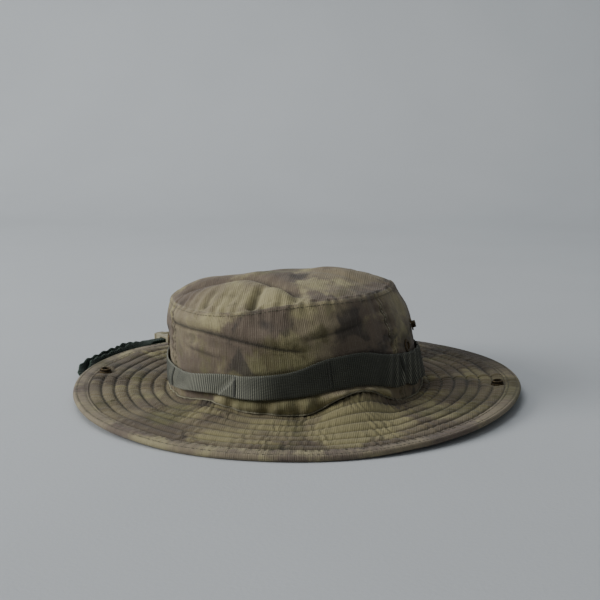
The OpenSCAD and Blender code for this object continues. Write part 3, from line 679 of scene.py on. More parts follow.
def make_strap():
    line = eased(STRAP_ROUTE, STRAP_STEP)
    path, roll = line[:, :3], np.radians(line[:, 3])
    ahead = unit(np.gradient(path, axis=0))
    side = unit(spread(ahead[:, 1], -ahead[:, 0], 0))
    up = np.cross(side, ahead)
    c, s = np.cos(roll)[:, None], np.sin(roll)[:, None]
    across, above = (v[:, None] for v in (side * c + up * s, up * c - side * s))
    run = lengths(path)
    section = flat_section(STRAP_W, STRAP_T)
    # the braid's edges are scalloped, except along the run that the lock slides on
    off = (path - LOCK_AT)[:, :2] * 0.7071
    reach, beside = off[:, 0] + off[:, 1], np.abs(off[:, 0] - off[:, 1])
    free = 1 - between(reach, -20, 50, 4, 4) * smooth((9 - beside) / 2)
    free = free * smooth((np.abs(path[:, 0]) - 86) / 6 + 0.3)
    scallops = 0.15 * np.sin(run / 1.9 + 1.5 * np.sin(run / 17)) + 0.06 * np.sin(run / 5.1)
    wide = 0.94 - 0.04 * free + free * scallops
    thick = 0.95 + 0.13 * free * np.sin(run / 1.9 + 1)
    wide, thick = wide[:, None, None], thick[:, None, None]
    rings = path[:, None] + across * section[None, :, :1] * wide + above * section[None, :, 1:] * thick
    rings[..., 2] = np.maximum(rings[..., 2], 0.05)
    girth = lengths(section)
    uv = spread(run[:, None], girth[None, :])
    strap = tube("chin_strap_braid", rings, uv)
    dress(strap, "braid", "braid", "hat", "chin_strap")
    make_lock()


make_strap()

# ---- The brim's heights and the crown's shape, which every cloth piece follows ----


def window(x):
    return np.clip(1 - (x / FOLD_X) ** 2, 0, 1)


def drape(x, y):
    """The folds of the brim beside the crown, before they die away towards the edge."""
    front = 9.5 * bell(x, -52, 24) + 3.5 * bell(x, -4, 30) + 15 * bell(x, 46, 18) + 16 * bell(x, 64, 14)
    back = 6 + 4 * bell(x, -30, 26)
    return window(x) * (front + (back - front) * smooth((y + 14) / 28))


def under(x, y):
    """Height of the underside of the brim's cloth."""
    ax, ay = np.abs(x), np.abs(y)
    inner = np.where(ax < CROWN_X, (CROWN_Y - WALL_T) * np.sqrt(np.clip(1 - (x / CROWN_X) ** 2, 0, 1)), 0.1)
    outer = BRIM_Y * np.sqrt(np.clip(1 - (x / BRIM_X) ** 2, 1e-4, 1))
    v = np.clip((ay - inner) / (outer - inner), 0, 1)
    flat = BIND_T + (SIDE_LIFT - BIND_T) * smooth((ax - 50) / (FOLD_X - 50))
    near = flat + drape(x, y) * np.where(v < 0.8, (1 - v / 0.8) ** 2, 0)
    return np.where(ax > FOLD_X, SIDE_LIFT + (ax - FOLD_X) * SIDE_TILT, near)


def cosd(a):
    return np.cos(np.radians(a))


def sind(a):
    return np.sin(np.radians(a))


def seam_z(a):
    """Height of the seam where the crown meets the brim."""
    return under(CROWN_X * cosd(a), CROWN_Y * sind(a) * 0.999) + BRIM_T + 0.1


def rim_z(a):
    """Height of the seam round the top panel."""
    b = turned(a, 0)
    x = CROWN_X * cosd(a)
    dip = 8 * between(b, 0, 115, 40, 40) * smooth(x / 40 + 0.4)
    return 71.5 + 9.5 * smooth((x + 60) / 100) - dip


def past(z):
    return np.maximum(0, z - SHOULDER_Z)


def half_x(z):
    return CROWN_X - DRAW_X * np.maximum(0, z - CROWN_Z) - SHOULDER_CURVE * past(z) ** 2


def half_y(z):
    return CROWN_Y - DRAW_Y * np.maximum(0, z - CROWN_Z) - SHOULDER_CURVE * past(z) ** 2


def shift_x(z):
    return -LEAN * np.maximum(0, z - CROWN_Z)


def bare_wall(a, z):
    return np.stack([shift_x(z) + half_x(z) * cosd(a), half_y(z) * sind(a), z], -1)


def wall_normal(a, z):
    n = np.arctan2(sind(a) / half_y(z), cosd(a) / half_x(z))
    drawn = DRAW_X * cosd(a) * np.cos(n) + DRAW_Y * sind(a) * np.sin(n)
    tilt = np.arctan(drawn + LEAN * np.cos(n) + 2 * SHOULDER_CURVE * past(z))
    return np.stack([np.cos(n) * np.cos(tilt), np.sin(n) * np.cos(tilt), np.sin(tilt)], -1)


# Height of the webbing's lower edge round the crown: angle, height
WEB_LOW = [
    (-180, 12.5), (-160, 12), (-142, 14.5), (-126, 18.5), (-114, 19.5), (-102, 17.5), (-88, 18.5),
    (-76, 20.5), (-64, 23.5), (-50, 24.5), (-36, 18), (-15, 14), (15, 13.5), (45, 13.5), (90, 15.5),
    (135, 15), (160, 13.5), (180, 12.5),
]
# Height of the webbing there: less where it leans out
WEB_TALL = [
    (-180, 20.5), (-158, 17), (-142, 13), (-126, 11.5), (-112, 13.5), (-98, 15.5), (-80, 17), (-70, 21),
    (-50, 22), (-36, 23), (-10, 22), (30, 20.5), (180, 20.5),
]
WEB_W = 20.5


def around(a, knots):
    """A value that eases from knot to knot round the crown."""
    b = turned(a, 0)
    knots = np.array(knots, float)
    return sum(np.interp(b + d, knots[:, 0], knots[:, 1], period=360) for d in (-4, 0, 4)) / 3


HARDWARE = [(0, STUD_Z[1]), (180, STUD_Z[-1])] + [(b + s * VENT_A, VENT_Z) for b in (0, 180) for s in (-1, 1)]


def crown_relief(a, z):
    """How far the soft crown stands proud of its plain shape, in millimetres."""
    a, z = np.broadcast_arrays(np.asarray(a, float), np.asarray(z, float))
    b = turned(a, 0)
    p = bare_wall(a, z)
    h, k, s = z - seam_z(a), rim_z(a) - z, a * CROWN_RUN
    r = 1.5 * noise(p, 34, 3) + 0.7 * noise(p, 15, 4) + 0.22 * noise(p, 6.5, 6)
    # puckers along the sewn edges
    for i, seam in enumerate(PANEL_SEAMS):
        d = np.abs(turned(a, seam)) * 1.6
        r += 0.55 * np.sin(z / 1.25 + 2.2 * noise(p, 9, 10 + i)) * bell(d, 0, 6) - 0.75 * bell(d, 0, 0.9)
        r += 0.45 * bell(d, 2.6, 1.6)
    r += 0.35 * np.sin(s / 1.35 + 2 * noise(p, 8, 21)) * np.exp(-np.clip(h, 0, None) / 3.5)
    r += 0.5 * np.sin(s / 1.7 + 2.5 * noise(p, 10, 22)) * np.exp(-np.clip(k, 0, None) / 6)
    r -= 0.5 * bell(k, 0, 1.0)
    # the long crease across the front, and softer ones beside it
    line = 59 - 9 * smooth((b + 126) / 55)
    crease = 2.4 * bell(z, line + 6, 6) - 2.0 * bell(z, line - 0.5, 1.5) - 0.7 * bell(z, line - 6, 5)
    r += crease * between(b, -158, -70, 14, 14)
    line = 61 + (b + 60) * 0.28
    r += between(b, -80, -42, 12, 10) * (1.1 * bell(z, line + 4, 4) - 1.0 * bell(z, line, 1.5))
    line = 44 - (b + 124) * 0.16
    r += between(b, -140, -108, 10, 12) * (0.9 * bell(z, line + 3, 3) - 0.8 * bell(z, line, 1.3))
    # standing folds beside the right seam
    for at, size in ((-40, 0.9), (-24, 0.9), (-8, 0.7), (8, 0.8), (24, 0.7)):
        r += size * bell(b, at + 0.12 * (z - 60), 3.0) * smooth((z - 42) / 14)
    r += 2.2 * bell(turned(a, 188), 0, 26) * bell(z, 58, 14)
    # the cloth bags out between the brim and the webbing
    bag = between(b, -122, -34, 10, 8)
    low = around(a, WEB_LOW)
    gap = np.clip(h / np.maximum(4, low - seam_z(a)), 0, 1)
    lobes = np.sin(s / 3.4 + 0.9 + 0.8 * np.sin(s / 11)) + 0.5 * np.sin(s / 1.9 + 2.2 * noise(p, 12, 23))
    r += bag * np.sin(np.pi * gap) ** 0.8 * (4.2 + 1.2 * lobes)
    # it lies flat under the webbing and round the hardware
    held = between(z, low - 2, low + around(a, WEB_TALL) + 2.5, 3, 3)
    r = r * (1 - 0.85 * held) - 0.35 * held
    for at, high in HARDWARE:
        q = bare_wall(np.array(float(at)), np.array(high))
        r = r * smooth((np.linalg.norm(p - q, axis=-1) - 5.5) / 7)
    return r * smooth(h / 1.5 + 0.15)


def crown(a, z, depth=0.0):
    """A point on the crown's wall, that far in from its outer face."""
    return bare_wall(a, z) + wall_normal(a, z) * (crown_relief(a, z) - depth)[..., None]


# ---- Crown ----


def crown_panel(name, a0, a1, material, node):
    gap = 0.05
    cols = int((a1 - a0) * CROWN_RUN / 0.95)
    a = np.linspace(a0 + gap, a1 - gap, cols)[None, :]
    t = np.linspace(0, 1, 76)[:, None]
    z = seam_z(a) + (rim_z(a) - seam_z(a)) * t
    a = np.broadcast_to(a, z.shape)
    uv = np.stack([a * CROWN_RUN, z], -1)
    panel = shell(name, crown(a, z), crown(a, z, WALL_T), uv)
    # Painted shade in the hollows of the crown's cloth, less of it low down where the cloth bags out under the
    # webbing
    painted_shade = 0.5 * hollows(crown_relief(a, z)) * (1 - 0.7 * smooth((26 - z) / 8))
    paint(panel, "hollow_shade", np.tile(painted_shade.ravel(), 2))
    tint(panel, np.tile(np.stack([turned(a, 0).ravel(), z.ravel()], -1), (2, 1)), CROWN_TONES)
    dress(panel, material, "camo_ripstop", "hat", node)


for panel, start, end in (("front", -150, -30), ("right", -30, 30), ("back", 30, 150), ("left", 150, 210)):
    crown_panel(f"crown_{panel}_cloth", start, end, "crown_" + panel, f"crown_{panel}_panel")


# Dents in the top's front pillow: x, lean, width, depth and how far back they reach
PILLOW_DENTS = [
    (-19, 0.15, 4.0, 4.6, -52), (12, -0.25, 2.6, 1.6, -64), (-60, 0.5, 3.6, 1.8, -52),
    (21, -0.5, 2.2, 1.3, -66),
]


def top_height(x, y, inward, a, rim):
    """Height of the top panel that far in from its rim, whose height there is rim."""
    b = turned(a, 0)
    full = np.interp(x, [-85, -48, -25, 0, 20, 38, 60, 85], [84, 87, 90, 92.5, 94, 94, 90, 85])
    full = full - 0.19 * np.clip(y + 8, 0, None)
    full = full - (0.03 + 0.10 * smooth((x + 34) / 30)) * np.clip(-y - 20, 0, None)
    reach = 13 + 20 * between(b, -88, 0, 22, 24)
    free = smooth(inward / 9)
    z = rim + (full - rim) * (1 - np.exp(-inward / reach))
    p = spread(x, y, 0)
    # a pillow along the front with a valley behind it, which runs out at the seam on one side
    valley = y + 30 + 32 * smooth((x + 34) / 52)
    extent = between(x, -88, 20, 20, 18) * free
    z = z + extent * (2.8 * bell(valley, -22, 12) - 5.0 * bell(valley, 0, 7) + 1.0 * bell(valley, 14, 12))
    for at, lean, wide, deep, back in PILLOW_DENTS:
        line = at + lean * (y + 80)
        crease = bell(x, line, wide) - 0.25 * bell(x, line + 3.2 * wide, 2.2 * wide)
        z = z - deep * crease * smooth((back - y) / 11) * smooth(inward / 3)
    for at, slope, wide, deep in ((26, 0.25, 4.5, 1.5), (-4, -0.35, 4, 1.0), (52, 0.1, 4, 1.2)):
        crease = bell(y, at + slope * x, wide) - 0.6 * bell(y, at + slope * x + 2 * wide, 1.4 * wide)
        z = z - deep * crease * free * smooth((58 - np.abs(x - 8)) / 25)
    z = z + free * (1.1 * noise(p, 30, 31) + 0.7 * noise(p, 13, 32) + 0.2 * noise(p, 5.5, 33))
    s = a * 1.5
    z = z + 0.5 * np.sin(s / 2.1 + 2.5 * noise(p, 11, 34)) * np.exp(-inward / 6) * smooth(inward / 1.5)
    return z + 0.5 * bell(inward, 2.0, 1.2)


def make_top():
    a = np.linspace(-180, 180, 520, endpoint=False)
    rings = np.concatenate([np.linspace(1, 0.86, 16), np.linspace(0.85, 0.02, 58)])
    rim = crown(a, rim_z(a))
    centre = np.array([-5.0, 4.0])
    span = rim[:, :2] - centre
    share = rings[:, None, None]
    plan = centre + span[None] * share
    inward = (1 - rings)[:, None] * np.linalg.norm(span, axis=1)[None]
    angle = np.broadcast_to(a, inward.shape)
    calm = rim_z(a)[None, :]
    z = top_height(plan[..., 0], plan[..., 1], inward, angle, calm)
    z = z + (rim[None, :, 2] - calm) * np.exp(-inward / 3)
    middle = z[-1].mean()
    z = middle + (z - middle) * smooth(share[..., 0] / 0.25)
    outer = np.concatenate([plan, z[..., None]], -1)
    inner = outer - np.array([0, 0, WALL_T])
    top = shell("crown_top_cloth", outer, inner, outer[..., :2].copy(), wrap=True, cap=True)
    # Painted shade in the hollows of the top, fading out at its rim
    paint(top, "hollow_shade", np.tile(0.7 * hollows(z, True).ravel() * smooth(inward.ravel() / 3), 2))
    tint(top, np.tile(plan.reshape(-1, 2), (2, 1)), TOP_TONES)
    dress(top, "crown_top", "camo_ripstop", "hat", "crown_top_panel")


make_top()


def inside_ring(name, low, high, depth, thick, rows, material, node, wave=0.0):
    """A ring sewn inside the crown, between two heights. Each is a seam and how far above it."""
    a = np.linspace(-180, 180, 420, endpoint=False)[None, :]
    t = np.linspace(0, 1, rows)[:, None]
    bottom, top = (seam(a) + above for seam, above in (low, high))
    z = bottom + (top - bottom) * t
    a = np.broadcast_to(a, z.shape)
    loose = wave * smooth(t * 1.4) * (1 + np.sin(a / 4.1 + 2 * lined(a, 15, 51)))
    rolled = 0.35 * (bell(t, 0, 0.05) + bell(t, 1, 0.05))
    outer = crown(a, z, depth + loose + rolled)
    inner = crown(a, z, depth + loose + thick - rolled)
    uv = np.stack([a * 1.6, z], -1)
    dress(shell(name, outer, inner, uv, wrap=True), material, "cotton_tape", "hat", node)


def seam_edge():
    """The rolled edge of the seam tape, which shows as a thin light line where the crown meets the brim."""
    a = np.linspace(-180, 180, 900, endpoint=False)
    z = seam_z(a) + 1.5 + 0.15 * lined(a, 3, 55)
    centre, out = crown(a, z, -0.4), wall_normal(a, z)
    w = corners(8)[None, :, None]
    rings = centre[:, None] + 0.5 * (out[:, None] * np.cos(w) + np.array([0, 0, 1.0]) * np.sin(w))
    uv = spread(a[:, None] * CROWN_RUN, w[..., 0] * 0.5)
    edge = tube("base_seam_rolled_edge", rings, uv, closed=True)
    dress(edge, "edge_cord", "cotton_tape", "hat", "base_seam_tape")


seam_edge()
inside_ring("base_seam_cloth_tape", (seam_z, -2.2), (seam_z, 11), 0.95, 0.5, 10, "tape", "base_seam_tape")
inside_ring("top_seam_cloth_tape", (rim_z, -9), (rim_z, -1.2), 0.95, 0.6, 10, "tape", "top_seam_tape")
inside_ring("sweatband_cloth", (seam_z, 0), (seam_z, SWEAT_H), 1.6, 1.2, 26, "cotton", "sweatband", wave=0.35)

# ---- Brim ----


def edge_wobble(a):
    return 1 + 0.0022 * np.sin(np.radians(a) * 5 + 0.8) + 0.0016 * lined(a, 13, 41)


def brim_edges(a):
    """The brim's cut edge, and the way from there to its inner edge."""
    outer = spread(BRIM_X * cosd(a), BRIM_Y * sind(a)) * edge_wobble(a)[..., None]
    inner = spread((CROWN_X - WALL_T) * cosd(a), (CROWN_Y - WALL_T) * sind(a))
    return outer, inner - outer


def brim_plan(a, inward):
    """A point on the brim that far in from its cut edge."""
    outer, span = brim_edges(a)
    return outer + span * (inward / np.linalg.norm(span, axis=-1))[..., None]


def near_socket(x, y):
    return smooth((np.hypot(np.abs(x) - SOCKET_X, y) - 5.5) / 5)


def quilt(a, inward, x, y, seed):
    """The padded rows between the brim's rings of stitching."""
    row = (inward - QUILT_FIRST) / QUILT_STEP
    t = row - np.floor(row)
    p = spread(x, y, 0)
    puff = np.clip(1 - (2 * t - 1) ** 2, 0, 1) ** 0.6
    run = a * 2.25
    drift = 3.4 * noise(p, 11, seed) + 7.0 * np.floor(row)
    tucks = np.sin(run / 0.95 + drift) + 0.6 * np.sin(run / 0.61 + 1.7 * drift)
    uneven = np.clip(0.8 + 1.1 * noise(p, 17, seed + 2), 0.1, 2)
    rise = puff * (1.35 + 0.45 * noise(p, 20, seed + 1)) + 0.27 * tucks * (0.35 + 0.75 * puff) * uneven
    rise = rise - 0.45 * bell(t, 0, 0.08) - 0.45 * bell(t, 1, 0.08)
    # the side seam that joins the brim's halves
    seam = np.minimum(np.abs(turned(a, 7.0)), np.abs(turned(a, 187.0))) * 2.2
    rise = rise - 1.5 * bell(seam, 0, 1.0) + 0.55 * bell(seam, 2.6, 1.5)
    return rise * smooth((inward - 9.2) / 1.2) * near_socket(x, y)


def ripple(x, y):
    p = spread(x, y, 0)
    calm = near_socket(x, y) * smooth((169 - np.hypot(x, y)) / 12)
    return calm * (0.8 * noise(p, 40, 61) + 0.35 * noise(p, 18, 62))


def brim_top(a, inward):
    plan = brim_plan(a, inward)
    x, y = plan[..., 0], plan[..., 1]
    z = under(x, y) + BRIM_T + quilt(a, inward, x, y, 71) + ripple(x, y)
    return np.concatenate([plan, z[..., None]], -1)


def brim_bottom(a, inward):
    plan = brim_plan(a, inward)
    x, y = plan[..., 0], plan[..., 1]
    z = under(x, y) - 0.45 * np.clip(quilt(a, inward, x, y, 81), -0.5, 1.6) + ripple(x, y)
    return np.concatenate([plan, np.maximum(z, 0.05)[..., None]], -1)


# Width of the brim's cloth where it is widest
BRIM_WIDTH = 71.3
HALVES = (("right", -90.0, 90.0), ("left", 90.0, 270.0))


def folds(obj):
    """Bakes the piece's placing into its mesh."""
    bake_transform(obj)


def matched_normals(obj, normals):
    """Normals worked out right across the line where two halves meet, so that the line doesn't show."""
    obj.data.normals_split_custom_set_from_vertices(normals.reshape(-1, 3).tolist())


def grid_normals(points):
    du, dv = np.gradient(points, axis=1), np.gradient(points, axis=0)
    n = unit(np.cross(du, dv))
    return n * np.where(n[..., 2:3] < 0, -1, 1)


def back_shade(x, y):
    """Painted shade on the outermost edge of the brim at the back right, where it lies in shadow."""
    outermost = smooth((np.hypot(x / BRIM_X, y / BRIM_Y) - 0.84) / 0.04)
    return outermost * smooth((x - 30) / 30) * smooth((y - 26) / 24)


def layer_nodes(layer, side):
    """The CAD nodes of that layer which half the brim stands for."""
    return [f"brim_{layer}_{place}" for place in ("front", "back", side)]


def overlapped(a0, a1, count):
    """That many angles from a0 to a1, and one more beyond each end."""
    step = (a1 - a0) / (count - 1)
    return np.linspace(a0 - step, a1 + step, count + 2)


def half_cloth(side, a0, a1, face, material, node_names):
    """The upper or lower cloth of half the brim, with half the thickness of the whole."""
    a = overlapped(a0, a1, 380)[None, :]
    inward = np.linspace(0.05, BRIM_WIDTH, 88)[:, None]
    a, inward = np.broadcast_arrays(a, inward)
    inward = inward * np.minimum(1, np.linalg.norm(brim_edges(a)[1], axis=-1) / BRIM_WIDTH)
    top, bottom = brim_top(a, inward), brim_bottom(a, inward)
    middle = (top + bottom) / 2
    outer, inner = (top, middle) if face == "upper" else (middle, bottom)
    n = grid_normals(top if face == "upper" else bottom)[:, 1:-1]
    uv = outer[:, 1:-1, :2].copy()
    obj = shell(f"brim_{face}_cloth_{side}", outer[:, 1:-1], inner[:, 1:-1], uv, sharp=0)
    matched_normals(obj, np.stack([n, -n]))
    x, y = top[..., 0], top[..., 1]
    # Painted shade: in the quilting's hollows, along the first row and the seam with the crown where the band
    # shades it, and on the edge at the back right; less on the raised hump at the front right
    raised = bell(x, 50, 30) * smooth((-60 - y) / 20)
    painted_shade = 0.9 * hollows(quilt(a, inward, x, y, 71)) * (1 - 0.5 * raised) + 0.5 * bell(inward, 10.4, 0.9)
    painted_shade = painted_shade + 0.5 * bell(inward, inward[-1:], 1.5) * (1 - 0.7 * raised) + 0.38 * back_shade(x, y)
    paint(obj, "hollow_shade", np.tile(painted_shade[:, 1:-1].ravel(), 2))
    flat = np.concatenate([outer[:, 1:-1, :2].reshape(-1, 2)] * 2)
    tint(obj, flat, BRIM_TONES if face == "upper" else PLAIN)
    dress(obj, material, "camo_ripstop", None, *node_names)
    folds(obj)


# The binding's section: how far in from the brim's edge, and how far off the cloth. Then where it turns under
BINDING_LEG = [
    (10.3, 0.02), (10.2, 0.42), (9.6, 0.78), (8.8, 0.80), (8.2, 0.50), (7.6, 0.84), (6.2, 0.98),
    (4.6, 1.0), (3.2, 0.9), (2.4, 0.82), (1.9, 0.5), (1.4, 0.8), (0.6, 0.72), (0.0, 0.42),
]
BINDING_TURN = [(-0.5, -0.25), (-0.8, -1.1)]


def half_binding(side, a0, a1):
    a = overlapped(a0, a1, 520)
    rings, run = [], a * 2.9
    pleat = 0.16 * np.sin(run / 0.95 + 2.4 * lined(run, 11, 91)) + 0.12 * lined(run, 4, 92)
    for inward, rise in BINDING_LEG + BINDING_TURN:
        p = brim_top(a, np.full_like(a, inward))
        p[:, 2] += rise + pleat * min(1, max(0, (inward - 0.3) / 2)) * (1.0 if inward < 10 else 0.2)
        rings.append(p)
    for inward, drop in BINDING_TURN[::-1] + [(inward, 0.8 * rise) for inward, rise in BINDING_LEG[::-1]]:
        p = brim_bottom(a, np.full_like(a, inward))
        p[:, 2] = np.maximum(p[:, 2] - drop, 0.0)
        rings.append(p)
    rings = np.stack(rings, 1)
    girth = lengths(rings[0])
    du, dv = np.gradient(rings, axis=0), (np.roll(rings, -1, 1) - np.roll(rings, 1, 1))
    n = unit(np.cross(du, dv))
    n = n if n[0, 5, 2] > 0 else -n
    keep = slice(1, -1)
    uv = spread(run[:, None], girth[None, :])[keep]
    obj = tube(f"brim_binding_cloth_{side}", rings[keep], uv, sharp=0)
    matched_normals(obj, n[keep])
    flat = rings[keep].reshape(-1, 3)[:, :2]
    # Painted shade in the binding's pleats and on its edge at the back right
    crease_shade = np.repeat(0.4 * np.clip(-pleat, 0, 1)[keep], rings.shape[1])
    paint(obj, "hollow_shade", 0.55 * back_shade(flat[:, 0], flat[:, 1]) + crease_shade)
    tint(obj, flat, BINDING_TONES)
    dress(obj, "binding", "binding_tape", None, *layer_nodes("binding", side))
    folds(obj)


for side, a0, a1 in HALVES:
    half_cloth(side, a0, a1, "upper", "brim", layer_nodes("upper", side))
    half_cloth(side, a0, a1, "lower", "brim", layer_nodes("lower", side) + layer_nodes("stiffener", side))
    half_binding(side, a0, a1)

# ---- Stitching ----


# A stitch's outline: place along it, share of its radius and height above the cloth
STITCH = [(-0.42, 0.55, -0.5), (-0.26, 1.0, 0.55), (0.0, 1.05, 0.8), (0.26, 1.0, 0.55), (0.42, 0.55, -0.5)]


def stitches(name, lines, pitch, radius, lift, material):
    """Thread along lines, each of them points and their normals. A stitch is a bead that dips at its ends."""
    centres, along, normal = [], [], []

    def at_run(where, run, values):
        return np.stack([np.interp(where, run, column) for column in values.T], -1)

    for points, normals in lines:
        run = lengths(points)
        at = np.arange(pitch / 2, run[-1], pitch)
        at = at + 0.12 * pitch * np.sin(at * 1.7)
        centres.append(at_run(at, run, points))
        along.append(unit(at_run(at + 0.3, run, points) - at_run(at - 0.3, run, points)))
        normal.append(unit(at_run(at, run, normals)))
    c, t, n = (np.concatenate(v) for v in (centres, along, normal))
    rings = []
    for share, size, high in STITCH:
        centre = c + t * share * pitch + n * (lift + high * radius)
        rings.append(round_ring(centre, np.cross(t, n), n, radius * size, 6))
    beads = np.stack(rings, 1)
    beads[..., 2] = np.maximum(beads[..., 2], 0.02)
    rows, sides = beads.shape[1:3]
    uv = spread(np.arange(rows)[:, None] * pitch / rows, np.arange(sides)[None, :] * 0.3)
    obj = tubes(name, beads, [uv] * len(beads))
    obj.data.materials.append(M[material])
    return obj


# How far the rows of stitching lie in from the brim's cut edge, in the cloth and in the binding
ROWS = [QUILT_FIRST + QUILT_STEP * k for k in range(1, 7)]
EDGE_ROWS = (8.2, 1.95)


def brim_stitching(name, side, a, surface, rows, rise, upward, *sizes):
    """Rows of stitching on half a face of the brim, raised that far. sizes are pitch, radius and lift."""
    lines = []
    for inward in rows:
        p = surface(a, np.full_like(a, inward))
        p[:, 2] += rise
        lines.append((p, np.tile([0, 0, upward], (len(p), 1))))
    obj = stitches(name, lines, *sizes, "thread")
    folds(obj)


for side, a0, a1 in HALVES:
    a = np.linspace(a0 + 0.3, a1 - 0.3, 700)
    for face, upward, rise, lift in ((brim_top, 1.0, 0.52, 0.02), (brim_bottom, -1.0, -0.416, -0.12)):
        end = f"_thread_{'upper' if upward > 0 else 'lower'}_{side}"
        brim_stitching("brim_quilting" + end, side, a, face, ROWS, 0, upward, 3.0, 0.27, 0.05)
        brim_stitching("brim_binding" + end, side, a, face, EDGE_ROWS, rise, upward, 2.8, 0.26, lift)


def wall_line(a, z):
    a, z = np.broadcast_arrays(np.asarray(a, float), np.asarray(z, float))
    return crown(a, z), wall_normal(a, z)


def crown_stitching():
    a = np.linspace(-180, 180, 900)
    lines = [wall_line(a, seam_z(a) + 2.2), wall_line(a, rim_z(a) - 2.4)]
    for seam in PANEL_SEAMS:
        for off in (1.6, 5.2):
            b = seam + off / 1.62
            z = np.linspace(float(seam_z(b)) + 1, float(rim_z(b)) - 2, 220)
            lines.append(wall_line(b, z))
    rows = stitches("crown_topstitching", lines, 2.9, 0.2, 0.02, "crown_thread")
    dress(rows, "crown_thread", "thread", "hat")
    z = np.linspace(52, 73, 60)
    lines = [wall_line(-30 + 0.9 / 1.62, z)]
    loose = stitches("crown_seam_loose_thread", lines, 3.4, 0.3, 0.15, "light_thread")
    dress(loose, "light_thread", "thread", "hat")
    lines = [(crown(a, seam_z(a) + 2.5, 2.85), -wall_normal(a, seam_z(a)))]
    band = stitches("sweatband_thread", lines, 3.2, 0.25, 0.0, "light_thread")
    dress(band, "light_thread", "thread", "hat")


crown_stitching()

# ---- Foliage band: ribbed webbing tacked into loops ----

# How far each loop of the webbing stands off the crown at its middle
LOOP_SLACK = [1.6, 1.2, 1.4, 1.2, 1.6, 2.6, 2.2, 1.4, 2.0]
# Crumpled folds that fan out below the vent on the right: angle, height and width
BAND_FOLDS = [
    (-44, 0.7, 2.4), (-35, 1.6, 1.6), (-30, 1.2, 1.4), (-24.5, 2.0, 1.5), (-19, 1.5, 1.3), (-13, 2.1, 1.6),
    (-7, 1.4, 1.4), (-1, 1.6, 1.6), (6, 1.0, 1.8),
]


def web_out(a):
    loop, share = np.divmod(turned(a, TACKS[0]) % 360 / 40, 1)
    return 0.35 + np.array(LOOP_SLACK)[loop.astype(int) % 9] * np.sin(np.pi * share) ** 2


def web_shape(a, share):
    """Height and stand-off of the webbing's inner face, share of the way up it."""
    b = turned(a, 0)
    low, tall = around(a, WEB_LOW), around(a, WEB_TALL)
    z = low + share * tall
    # the left loop hangs loose, and its end tucks under the next along a slanting fold
    line = -109.5 + 8.5 * (share - 0.5)
    over = smooth(b - line) * smooth((-82 - b) / 22)
    snug = 1 - 0.6 * bell(b, -14, 26) - 0.5 * bell(b, -86, 16) - 0.75 * bell(b, -168, 16)
    out = web_out(a) * snug + 1.7 * over - 0.3 * bell(b, line - 1.8, 1.6)
    lean = np.sqrt(np.clip(WEB_W**2 - tall**2, 0, None))
    out = out + 0.20 * lean * (1 - share) * between(b, -158, -84, 12, 14)
    out = out + 1.2 * bell(b, -150, 9) * bell(share, 0.45, 0.3) - 1.0 * bell(b, -138, 6) * bell(share, 0.2, 0.3)
    out = out + 1.0 * bell(b, -128, 7) * share - 0.7 * bell(b - 6 * share, -146, 2.4)
    for at, size, wide in BAND_FOLDS:
        fan = at + 5.5 * (share - 0.7)
        fold = bell(b, fan, wide) - 0.45 * bell(b, fan + 1.7 * wide, wide)
        out = out + size * (0.45 + 0.55 * (1 - share)) * fold
    z = z + 1.3 * np.sin((b + 30) / 2.3) * bell(b, -22, 13) * (1 - share)
    out = out + 0.3 * (1 + lined(a, 11, 101)) * smooth(np.sin(np.pi * ((a - 14) % 40) / 40))
    out = out + 0.35 * np.abs(share - 0.5) * (1 + lined(a, 17, 103))
    return z, np.maximum(out, 0.1)


def make_band():
    a = np.linspace(-180, 180, 2880, endpoint=False)[None, :]
    share = np.concatenate([[0, 0.012], np.linspace(0.04, 0.96, 15), [0.988, 1]])[:, None]
    a, share = np.broadcast_arrays(a, share)
    b = turned(a, 0)
    s, h = a * 1.68, share * WEB_W
    z, out = web_shape(a, share)
    rib = 0.16 * np.cos(2 * np.pi * s / RIB)
    edge = smooth(h / 0.8) * smooth((WEB_W - h) / 0.8)
    base, n = bare_wall(a, z), wall_normal(a, z)
    outer = base + n * (out + WEB_T * (0.55 + 0.45 * edge) + rib * edge)[..., None]
    inner = base + n * (out + WEB_T * 0.35 * (1 - edge) + 0.3 * rib * edge)[..., None]
    uv = np.stack([s, h], -1)
    band = shell("foliage_band_webbing", outer, inner, uv, wrap=True)
    # Lighter webbing: faded and partly painted light along the loose left loop, and painted highlights on the
    # crumpled folds at the right, more where they stand proud
    fade_and_highlight = 0.95 * between(b, -176, -100, 6, 8) + 0.6 * between(b, -110, -84, 8, 16)
    proud = np.clip(out - (np.roll(out, 14, 1) + np.roll(out, -14, 1)) / 2, 0, 1)
    fade_and_highlight = fade_and_highlight + (0.16 + 0.8 * proud) * bell(b, -18, 19)
    fade_and_highlight = fade_and_highlight * (0.85 + 0.35 * noise(spread(s, h, 0), 14, 104)) + 0.06
    paint(band, "fade_and_highlight", np.tile(np.clip(fade_and_highlight, 0, 1).ravel(), 2))
    dress(band, "webbing", "webbing", "hat", "foliage_band")


make_band()


def band_surface(a, share):
    """A point on the outside of the webbing, and the direction out of it."""
    z, out = web_shape(a, share)
    n = wall_normal(a, z)
    return bare_wall(a, z) + n * (out + WEB_T + 0.15)[..., None], n


def make_tacks():
    passes, sides = 26, 5
    t = np.linspace(0, 1, passes * 8)
    tacks = []
    for tack in TACKS:
        p, n = band_surface(tack + 0.62 * np.sin(2 * np.pi * t * passes), 0.07 + 0.86 * t)
        tacks.append(round_ring(p, np.cross(unit(np.gradient(p, axis=0)), n), n, 0.3, sides))
    uv = spread(np.arange(len(t))[:, None] * 0.3, np.arange(sides)[None, :] * 0.3)
    obj = tubes("foliage_band_bar_tacks", tacks, [uv] * len(tacks))
    dress(obj, "tack_thread", "thread", "hat", "foliage_band_tacks")


make_tacks()


# ---- The strap's anchors inside the sweatband ----


